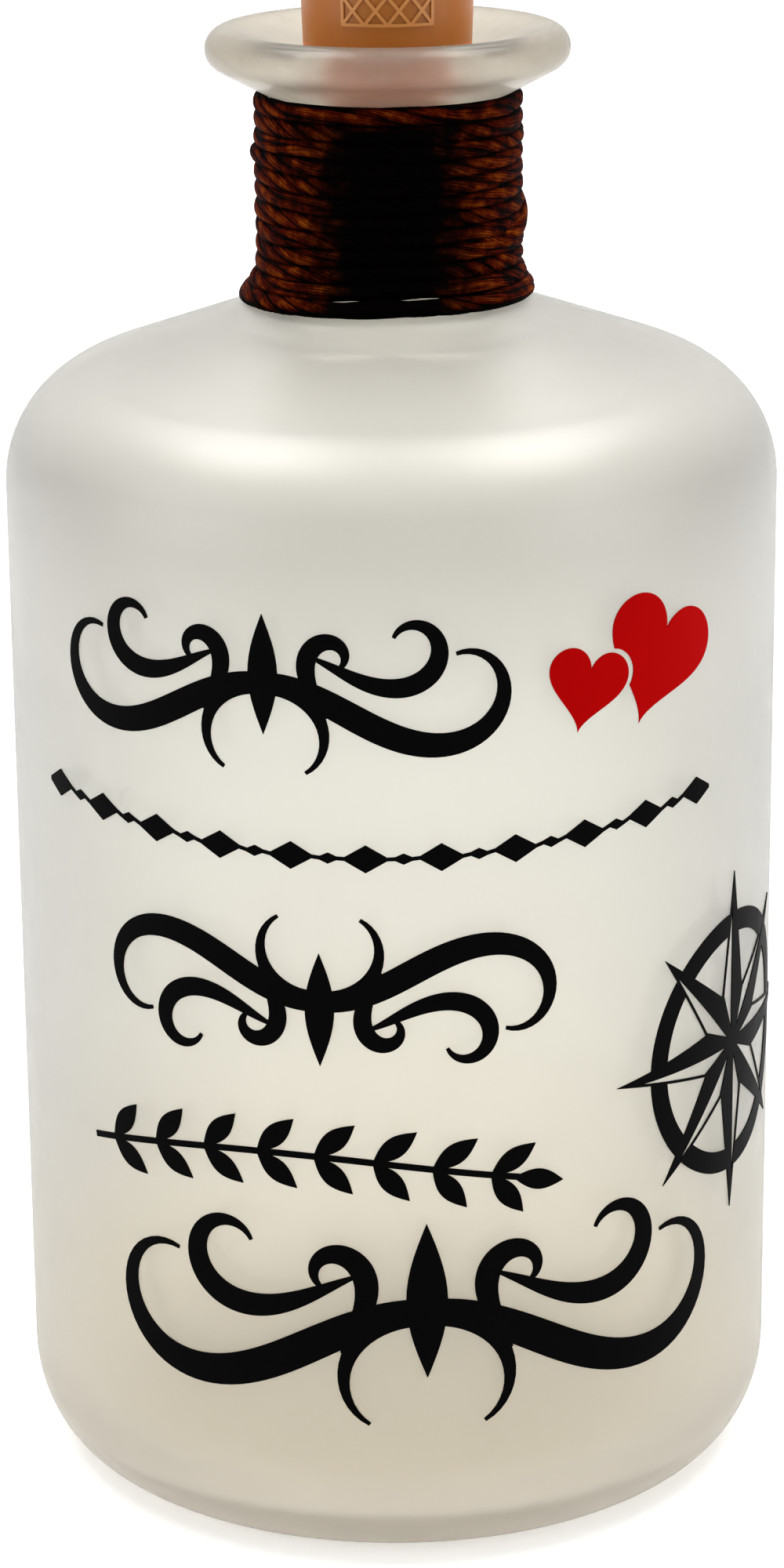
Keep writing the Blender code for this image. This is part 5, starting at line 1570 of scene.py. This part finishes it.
# %% Button
cream_moulding = drifting_material(
    "cream_moulding",
    (0.70, 0.60, 0.42),
    (0.66, 0.56, 0.39),
    (0.42, 0.55),
    drift_size=180.0,
    grain_size=2200.0,
    relief=0.00002,
    Subsurface_Weight=0.1,
    Subsurface_Scale=0.0008,
)
BUTTON_RADIUS = 0.0029
BUTTON_STEM = 0.0015
STEM_LENGTH = 0.0013
BUTTON_FLANGE = 0.0034
FLANGE_THICKNESS = 0.001
BUTTON_RIM = 0.0007
DISH_RADIUS = BUTTON_RADIUS - 0.0010
DISH_DEPTH = 0.0004
DISH_MIDDLE = 0.00048

button_low, button_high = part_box("push_button")
flange_low = button_low.z + STEM_LENGTH
flange_high = flange_low + FLANGE_THICKNESS
button = turn_profile(
    [
        (0.0, button_low.z, 0.0),
        (BUTTON_STEM, button_low.z, 0.0002),
        (BUTTON_STEM, flange_low, 0.0),
        (BUTTON_FLANGE, flange_low, 0.0001),
        (BUTTON_FLANGE, flange_high, 0.0001),
        (BUTTON_RADIUS, flange_high, 0.0),
        (BUTTON_RADIUS, button_high.z, 0.0003),
        (BUTTON_RADIUS - BUTTON_RIM, button_high.z, 0.0002),
        (DISH_RADIUS, button_high.z - DISH_DEPTH, 0.0002),
        (0.0, button_high.z - DISH_MIDDLE, 0.0),
    ],
    steps=64,
)
button_slots = (cream_moulding, "button_plastic", ["push_button"])
finish_piece("button_with_rim", button, "button", *button_slots, PART_SMOOTH_DEG)

# %% [markdown]
# ## Lamp
# A clear plastic lens closes the foot of the stopper, and above it hangs a diode of the usual kind:
# clear resin cast round two metal posts, one of which carries the chip in a small cup. Clear plastic is
# the same shader as the satin glass, with a smooth surface.

# %% Clear plastics
clear_moulding = drifting_material(
    "clear_moulding",
    (0.93, 0.93, 0.91),
    (0.91, 0.92, 0.90),
    (0.03, 0.10),
    drift_size=200.0,
    grain_size=900.0,
    relief=0.000006,
    Transmission_Weight=0.95,
    IOR=1.49,
)
clear_resin = drifting_material(
    "clear_resin",
    (0.95, 0.93, 0.82),
    (0.93, 0.91, 0.78),
    (0.04, 0.12),
    drift_size=300.0,
    grain_size=1200.0,
    relief=0.000006,
    Transmission_Weight=0.92,
    IOR=1.52,
)


# %% Lens
def dome_profile(radius, tip, shoulder, steps=12):
    """Corners from the tip of a hanging dome up to its shoulder."""
    corners = []
    for step in range(steps + 1):
        angle = math.pi / 2 * step / steps
        corners.append((radius * math.sin(angle), tip + (shoulder - tip) * (1 - math.cos(angle)), 0.0))
    return corners


LENS_RADIUS = 0.0028
LENS_BORE = 0.0018
LENS_WALL = 0.001
LENS_FLANGE = 0.0045
LAMP_FLANGE_THICKNESS = 0.0008

lens_low, lens_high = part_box("lens")
outer = dome_profile(LENS_RADIUS, lens_low.z, lens_low.z + LENS_RADIUS)
inner = dome_profile(LENS_BORE, lens_low.z + LENS_WALL, lens_low.z + LENS_RADIUS)
flange = [
    (LENS_RADIUS, lens_high.z - LAMP_FLANGE_THICKNESS, 0.0),
    (LENS_FLANGE, lens_high.z - LAMP_FLANGE_THICKNESS, 0.0001),
    (LENS_FLANGE, lens_high.z, 0.0002),
    (LENS_BORE, lens_high.z, 0.0001),
]
lens = turn_profile(outer + flange + inner[::-1], 64)
finish_piece("lens_dome", lens, "stopper", clear_moulding, "clear_plastic", ["lens"], PART_SMOOTH_DEG)

# %% Diode body
LED_RADIUS = 0.0015
LED_FLANGE = 0.0019

led_low, led_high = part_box("led")
diode = dome_profile(LED_RADIUS, led_low.z, led_low.z + LED_RADIUS)
diode += [
    (LED_RADIUS, led_high.z - LAMP_FLANGE_THICKNESS, 0.0),
    (LED_FLANGE, led_high.z - LAMP_FLANGE_THICKNESS, 0.0001),
    (LED_FLANGE, led_high.z, 0.0001),
    (0.0, led_high.z, 0.0),
]
diode = turn_profile(diode, 56)
finish_piece("diode_body", diode, "stopper", clear_resin, "led_resin", ["led"], PART_SMOOTH_DEG)

# %% Metals of the lamp
tinned_metal = drifting_material(
    "tinned_metal",
    (0.66, 0.66, 0.64),
    (0.55, 0.55, 0.53),
    (0.20, 0.36),
    drift_size=400.0,
    grain_size=3000.0,
    relief=0.000004,
    Metallic=1.0,
)
stamped_brass = drifting_material(
    "stamped_brass",
    (0.72, 0.48, 0.17),
    (0.60, 0.38, 0.12),
    (0.22, 0.40),
    drift_size=300.0,
    grain_size=2600.0,
    relief=0.000006,
    Metallic=1.0,
)
plated_steel = drifting_material(
    "plated_steel",
    (0.60, 0.60, 0.58),
    (0.48, 0.48, 0.47),
    (0.18, 0.34),
    drift_size=250.0,
    grain_size=2400.0,
    relief=0.000005,
    Metallic=1.0,
)

# %% Posts in the diode
# Each outline is in mm, across and up from the top of the diode.
ANVIL = [(1.05, 0.0), (1.45, 0.0), (1.30, -1.3), (0.60, -2.2), (0.55, -2.7), (-0.45, -2.7)]
ANVIL += [(-0.45, -2.0), (0.45, -1.2)]
SPEAR = [(-1.45, 0.0), (-1.05, 0.0), (-0.80, -1.4), (-0.75, -2.4), (-1.05, -2.4), (-1.25, -1.4)]
POST_HALF_THICKNESS = 0.00018

diode_posts = bmesh.new()
for outline in (ANVIL, SPEAR):
    add_patch(diode_posts, [(across / 1000, led_high.z + up / 1000) for across, up in outline])
thicken(diode_posts, -POST_HALF_THICKNESS, POST_HALF_THICKNESS)
finish_piece("diode_posts", diode_posts, "stopper", tinned_metal, "tinned_wire", smooth_deg=25.0)

# %% Chip in the diode
CUP_UP = 0.0024
CHIP_RADIUS = 0.00036
CHIP_HEIGHT = 0.00045

chip_phosphor = drifting_material(
    "chip_phosphor", (0.80, 0.62, 0.05), (0.74, 0.55, 0.04), (0.5, 0.7), 900.0, 5000.0
)
cup_foot = led_low.z + CUP_UP
chip = turn_profile(
    [
        (0.0, cup_foot - 0.00010, 0.0),
        (0.00032, cup_foot - 0.00005, 0.00005),
        (CHIP_RADIUS, cup_foot + CHIP_HEIGHT, 0.00005),
        (0.0, cup_foot + CHIP_HEIGHT, 0.0),
    ],
    steps=24,
)
finish_piece("diode_chip", chip, "stopper", chip_phosphor, None, smooth_deg=PART_SMOOTH_DEG)

# %% [markdown]
# ## Cells and contacts
# Three button cells stand on a brass plate inside a card sleeve. A cell is a drawn steel can, crimped
# over a dark gasket that keeps it apart from its cap, so each is made of those three pieces, every one
# a spun profile with the radius of a drawn edge. The sleeve is a tube of card, slit for the strip that
# passes it. The plate, the strip and the diode's legs keep their exact forms, and get stamped brass and
# tinned wire.

# %% Button cells
CELL_STEPS = 72
CELL_RADIUS = 0.0058
CELL_CAP_RADIUS = 0.0048
CELL_CAP_HEIGHT = 0.0009
CAN_SEAT_DEPTH = 0.0004
GASKET_WIDTH = 0.00022
GASKET_PROUD = 0.00008
THIN_GAP = 0.00001

gasket_rubber = drifting_material(
    "gasket_rubber", (0.020, 0.020, 0.022), (0.035, 0.035, 0.036), (0.5, 0.65), 600.0
)
for name in ("bottom", "middle", "top"):
    node = f"button_cell_{name}"
    low, high = (corner.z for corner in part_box(node))
    rim = high - CELL_CAP_HEIGHT
    sunk = rim - CAN_SEAT_DEPTH
    seat = sunk + 2 * THIN_GAP
    can_mouth = CELL_CAP_RADIUS + GASKET_WIDTH
    can = [
        (0.0, low, 0.0),
        (CELL_RADIUS, low, 0.00045),
        (CELL_RADIUS, rim, 0.00035),
        (can_mouth, rim, 0.00008),
        (can_mouth, sunk, 0.0),
        (0.0, sunk, 0.0),
    ]
    gasket = [
        (CELL_CAP_RADIUS + THIN_GAP, seat, 0.0),
        (can_mouth - THIN_GAP, seat, 0.0),
        (can_mouth - THIN_GAP, rim + GASKET_PROUD, 0.00005),
        (CELL_CAP_RADIUS + THIN_GAP, rim + GASKET_PROUD, 0.00005),
    ]
    cell_cap = [
        (0.0, seat, 0.0),
        (CELL_CAP_RADIUS, seat, 0.0),
        (CELL_CAP_RADIUS, high, 0.00035),
        (0.0, high, 0.0),
    ]
    for part, corners, material, slot_name, stands_for in (
        ("can", can, plated_steel, "cell_steel", [node]),
        ("gasket", gasket, gasket_rubber, None, ()),
        ("cap", cell_cap, plated_steel, "cell_steel", ()),
    ):
        shape = turn_profile(corners, CELL_STEPS)
        finish = (material, slot_name, stands_for, PART_SMOOTH_DEG)
        finish_piece(f"cell_{part}_{name}", shape, "stopper", *finish)

# %% Card
CARD_STRETCH = (500.0, 500.0, 3800.0)
CARD_PALE, CARD_DARK = (0.66, 0.57, 0.39), (0.45, 0.35, 0.20)


def build_card():
    """Pressed card: long fibres run round it, which a noise squeezed along the axis shows."""
    material = drifting_material(
        "pressed_card", (0.62, 0.52, 0.34), (0.52, 0.42, 0.25), (0.62, 0.80), 220.0
    )
    tree, shader, bump = open_finish(material, "ShaderNodeBsdfPrincipled", "ShaderNodeBump")
    place = add_node(tree, "ShaderNodeTexCoord")
    stretch = add_node(tree, "ShaderNodeMapping", {"Scale": CARD_STRETCH})
    fibres = add_node(tree, "ShaderNodeTexNoise", {"Scale": 1.0, "Detail": 3.0})
    tree.links.new(place.outputs["Object"], stretch.inputs[0])
    tree.links.new(stretch.outputs[0], fibres.inputs["Vector"])
    shade = blend_colour(tree, fibres.outputs["Fac"], CARD_PALE, CARD_DARK)
    tree.links.new(shade, shader.inputs["Base Color"])
    tree.links.new(fibres.outputs["Fac"], bump.inputs["Height"])
    return material


pressed_card = build_card()

# %% Card sleeve
SLEEVE_BORE = 0.0061
SLEEVE_RADIUS = 0.0066
SLEEVE_SLOT = 0.0036
SLEEVE_EDGE = 0.00012
SLOT_ROUNDING = 0.0001

low, high = (corner.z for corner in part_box("battery_sleeve"))
corners = [(SLEEVE_BORE, low), (SLEEVE_RADIUS, low), (SLEEVE_RADIUS, high), (SLEEVE_BORE, high)]
sleeve = turn_profile([(*corner, SLEEVE_EDGE) for corner in corners], steps=96)
cut_low = (0.001, -SLEEVE_SLOT / 2, low - CUT_OVER)
cut_high = (SLEEVE_RADIUS + CUT_OVER, SLEEVE_SLOT / 2, high + CUT_OVER)
sleeve = combine(sleeve, cut=add_block(bmesh.new(), cut_low, cut_high, SLOT_ROUNDING))
sleeve_slots = (pressed_card, "sleeve_card", ["battery_sleeve"])
finish_piece("card_sleeve", sleeve, "stopper", *sleeve_slots, PART_SMOOTH_DEG)

# %% Finishes for the nodes that stay
KEPT_NODES = {
    "contact_plate": stamped_brass,
    "return_strip": stamped_brass,
    "led_lead_to_plate": tinned_metal,
    "led_lead_to_strip": tinned_metal,
}
for name, material in KEPT_NODES.items():
    for node_slot in nodes[name].material_slots:
        node_slot.material = material
print("kept with a new finish:", ", ".join(KEPT_NODES))

# %% [markdown]
# ## Battery spring
# A conical spring presses on the top cell. Its end turns are laid flat, so that it stands square, and
# its body climbs evenly between them. A round wire swept along that path is the whole piece.

# %% Battery spring
SPRING_TURNS = 3.0
SPRING_STEPS = 180
SPRING_WIRE = 0.00022
SPRING_LOW_RADIUS, SPRING_HIGH_RADIUS = 0.0019, 0.0032
LAID_FLAT = 0.1

low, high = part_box("battery_spring")[0].z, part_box("circuit_board")[0].z
wire = bpy.data.curves.new("spring_wire", "CURVE")
wire.dimensions = "3D"
wire.bevel_depth = SPRING_WIRE
wire.bevel_resolution = 4
wire.use_fill_caps = True
coil = wire.splines.new("POLY")
coil.points.add(SPRING_STEPS)
for step, point in enumerate(coil.points):
    share = step / SPRING_STEPS
    angle = math.tau * SPRING_TURNS * share
    radius = SPRING_LOW_RADIUS + (SPRING_HIGH_RADIUS - SPRING_LOW_RADIUS) * share
    climb = smooth_step((share - LAID_FLAT) / (1.0 - 2 * LAID_FLAT))
    height = low + SPRING_WIRE + (high - low - 2 * SPRING_WIRE) * climb
    point.co = (radius * math.cos(angle), radius * math.sin(angle), height, 1.0)
helper = add_to_scene("spring_wire", wire)
spring = as_bmesh(read_shape(helper))
bpy.data.objects.remove(helper)
finish_piece("wound_spring", spring, "cap", plated_steel, "spring_steel", ["battery_spring"], 50.0)

# %% [markdown]
# ## Board, switch and screws
# The board is a disc of green laminate with two screw holes. Its copper shows only in its material, as
# rings round the screws and a contact ring under it, because plated copper is thinner than a hair. The
# switch has a bent steel cover over a black body, a red plunger in its well, and short soldered legs.

# %% Board material
SCREW_RING = 0.0013
CONTACT_RING = 0.0032
CONTACT_HALF_WIDTH = 0.0005
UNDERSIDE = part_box("circuit_board")[0].z + 0.0002
BARE_TIN = (0.78, 0.77, 0.72)


def distance_to(tree, across, back):
    """How far a place is from an upright axis, from its two parts."""
    squares = [calculate(tree, "POWER", part, 2.0) for part in (across, back)]
    return calculate(tree, "SQRT", calculate(tree, "ADD", *squares))


def build_laminate():
    """Green solder mask, with bare tinned rings where a screw or the spring touches the board."""
    material = drifting_material(
        "laminate", (0.010, 0.105, 0.030), (0.008, 0.080, 0.022), (0.25, 0.40), 300.0
    )
    tree, finish, shader = open_finish(material, "ShaderNodeGroup", "ShaderNodeBsdfPrincipled")
    across, back, up = object_place(tree)[1:]
    past_screw = calculate(tree, "SUBTRACT", calculate(tree, "ABSOLUTE", back), SCREW_OFFSET)
    screw_ring = calculate(tree, "LESS_THAN", distance_to(tree, past_screw, across), SCREW_RING)
    past_ring = calculate(tree, "SUBTRACT", distance_to(tree, across, back), CONTACT_RING)
    on_ring = calculate(tree, "LESS_THAN", calculate(tree, "ABSOLUTE", past_ring), CONTACT_HALF_WIDTH)
    contact_ring = calculate(tree, "MULTIPLY", on_ring, calculate(tree, "LESS_THAN", up, UNDERSIDE))
    bare = calculate(tree, "MAXIMUM", screw_ring, contact_ring)
    colour = blend_colour(tree, bare, finish.outputs["Colour"], BARE_TIN)
    tree.links.new(colour, shader.inputs["Base Color"])
    tree.links.new(bare, shader.inputs["Metallic"])
    return material


laminate = build_laminate()

# %% Board
BOARD_RADIUS = 0.0072
BOARD_EDGE = 0.00008
BOARD_HOLE_RADIUS = 0.0007

board_low, board_high = (corner.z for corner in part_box("circuit_board"))
board = turn_profile(
    [
        (0.0, board_low, 0.0),
        (BOARD_RADIUS, board_low, BOARD_EDGE),
        (BOARD_RADIUS, board_high, BOARD_EDGE),
        (0.0, board_high, 0.0),
    ],
    steps=96,
)
holes = bmesh.new()
for back in (-SCREW_OFFSET, SCREW_OFFSET):
    add_rod(holes, BOARD_HOLE_RADIUS, board_low - CUT_OVER, board_high + CUT_OVER, (0.0, back))
board = combine(board, cut=holes)
board_slots = (laminate, "board_laminate", ["circuit_board"])
finish_piece("laminate_board", board, "cap", *board_slots, PART_SMOOTH_DEG)

# %% Switch plastics
black_moulding = drifting_material(
    "black_moulding", (0.012, 0.012, 0.013), (0.020, 0.020, 0.021), (0.42, 0.58), 260.0
)
red_moulding = drifting_material(
    "red_moulding", (0.36, 0.018, 0.012), (0.30, 0.014, 0.010), (0.36, 0.5), 260.0
)

# %% Switch case
COVER_THICKNESS = 0.00018
CASE_ROUNDING = 0.00022
WELL_RADIUS = 0.0018
WELL_DEPTH = 0.0021

switch_low, switch_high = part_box("switch_body")
cover_low = switch_high.z - COVER_THICKNESS
well_floor = switch_high.z - WELL_DEPTH


def well_cutter(low, high):
    """The round well in which the plunger stands, as far as one piece has it."""
    return add_rod(bmesh.new(), WELL_RADIUS, low, high, segments=48)


case = add_block(bmesh.new(), switch_low, (*switch_high.xy, cover_low), CASE_ROUNDING)
case = combine(case, cut=well_cutter(well_floor, cover_low + CUT_OVER))
case_slots = (black_moulding, "switch_plastic", ["switch_body"])
finish_piece("switch_case", case, "cap", *case_slots, PART_SMOOTH_DEG)

# %% Switch cover
SHEET_ROUNDING = 0.00006
RIVET_PLACE = 0.0022
RIVET_RADIUS = 0.00035
RIVET_FLATNESS = 0.35

cover = add_block(bmesh.new(), (*switch_low.xy, cover_low), switch_high, SHEET_ROUNDING)
cover = combine(cover, cut=well_cutter(cover_low - CUT_OVER, switch_high.z + CUT_OVER))
flatten = Matrix.Diagonal((1.0, 1.0, RIVET_FLATNESS, 1.0))
for across in (-RIVET_PLACE, RIVET_PLACE):
    for back in (-RIVET_PLACE, RIVET_PLACE):
        place = Matrix.Translation((across, back, switch_high.z)) @ flatten
        bmesh.ops.create_uvsphere(
            cover, u_segments=20, v_segments=10, radius=RIVET_RADIUS, matrix=place
        )
finish_piece("switch_cover", cover, "cap", plated_steel, "screw_steel", smooth_deg=PART_SMOOTH_DEG)

# %% Switch legs
LEG_FROM, LEG_TO = 0.0030, 0.0037
LEG_PLACE = 0.0020
LEG_HALF_WIDTH = 0.0003
LEG_TOP = board_high + 0.0004

legs = bmesh.new()
for side in (-1.0, 1.0):
    left, right = sorted((side * LEG_FROM, side * LEG_TO))
    for back in (-LEG_PLACE, LEG_PLACE):
        leg_low = (left, back - LEG_HALF_WIDTH, board_high)
        add_block(legs, leg_low, (right, back + LEG_HALF_WIDTH, LEG_TOP), SHEET_ROUNDING)
finish_piece("switch_legs", legs, "cap", tinned_metal, "tinned_wire", smooth_deg=PART_SMOOTH_DEG)

# %% Switch plunger
plunger_low, plunger_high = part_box("switch_plunger")
plunger = turn_profile(
    [
        (0.0, plunger_low.z, 0.0),
        (plunger_high.x, plunger_low.z, 0.0001),
        (plunger_high.x, plunger_high.z, 0.00025),
        (0.0, plunger_high.z, 0.0),
    ],
    steps=48,
)
plunger_slots = (red_moulding, "plunger_plastic", ["switch_plunger"])
finish_piece("plunger_pin", plunger, "button", *plunger_slots, PART_SMOOTH_DEG)

# %% Chip resistor
CHIP_ROUNDING = 0.00009
TINNED_FROM = 0.00088
CHIP_TIN = (0.74, 0.74, 0.72)


def build_chip_material():
    """A dark glazed middle between two tinned ends."""
    material = drifting_material(
        "chip_glaze", (0.015, 0.015, 0.017), (0.028, 0.028, 0.030), (0.22, 0.36), 500.0
    )
    tree, finish, shader = open_finish(material, "ShaderNodeGroup", "ShaderNodeBsdfPrincipled")
    back = object_place(tree)[2]
    tinned = calculate(tree, "GREATER_THAN", calculate(tree, "ABSOLUTE", back), TINNED_FROM)
    colour = blend_colour(tree, tinned, finish.outputs["Colour"], CHIP_TIN)
    tree.links.new(colour, shader.inputs["Base Color"])
    tree.links.new(tinned, shader.inputs["Metallic"])
    return material


chip_body = add_block(bmesh.new(), *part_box("resistor"), CHIP_ROUNDING)
chip_slots = (build_chip_material(), "resistor_ceramic", ["resistor"])
finish_piece("resistor_chip", chip_body, "cap", *chip_slots, PART_SMOOTH_DEG)

# %% Screws
THREAD_TURNS = 9
SHANK_RADIUS = 0.0005
ROOT_RADIUS = 0.00040
NECK_RADIUS = 0.00042
HEAD_RADIUS = 0.0010
RECESS_ARM, RECESS_HALF_WIDTH = 0.00065, 0.00013
RECESS_DEPTH = 0.00035
RECESS_OVER = 0.0002


def screw_profile(low, high):
    """A rounded head below the board, and above it a shank with its thread as rings."""
    corners = [(0.0, low, 0.0), (HEAD_RADIUS, low, 0.00025)]
    corners += [(HEAD_RADIUS, board_low, 0.00008), (NECK_RADIUS, board_low, 0.0)]
    pitch = (high - SHANK_RADIUS - board_low) / (THREAD_TURNS + 0.5)
    for turn in range(THREAD_TURNS):
        corners.append((SHANK_RADIUS, board_low + (turn + 0.5) * pitch, 0.00003))
        corners.append((ROOT_RADIUS, board_low + (turn + 1.0) * pitch, 0.0))
    return corners + [(0.0, high, 0.0)]


def cross_recess(low, back):
    """Two crossed slots in the head; a union with an empty shape joins them into one cutter."""
    slots = bmesh.new()
    arms = (RECESS_ARM, RECESS_HALF_WIDTH)
    for half_across, half_back in (arms, arms[::-1]):
        slot_low = (-half_across, back - half_back, low - RECESS_OVER)
        add_block(slots, slot_low, (half_across, back + half_back, low + RECESS_DEPTH))
    return combine(slots, joined=bmesh.new())


for side, back in (("front", -SCREW_OFFSET), ("back", SCREW_OFFSET)):
    node = f"board_screw_{side}"
    low, high = (corner.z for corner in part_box(node))
    screw = turn_profile(screw_profile(low, high), 32, (0.0, back))
    screw = combine(screw, cut=cross_recess(low, back))
    screw_slots = (plated_steel, "screw_steel", [node])
    finish_piece(f"threaded_screw_{side}", screw, "cap", *screw_slots, PART_SMOOTH_DEG)
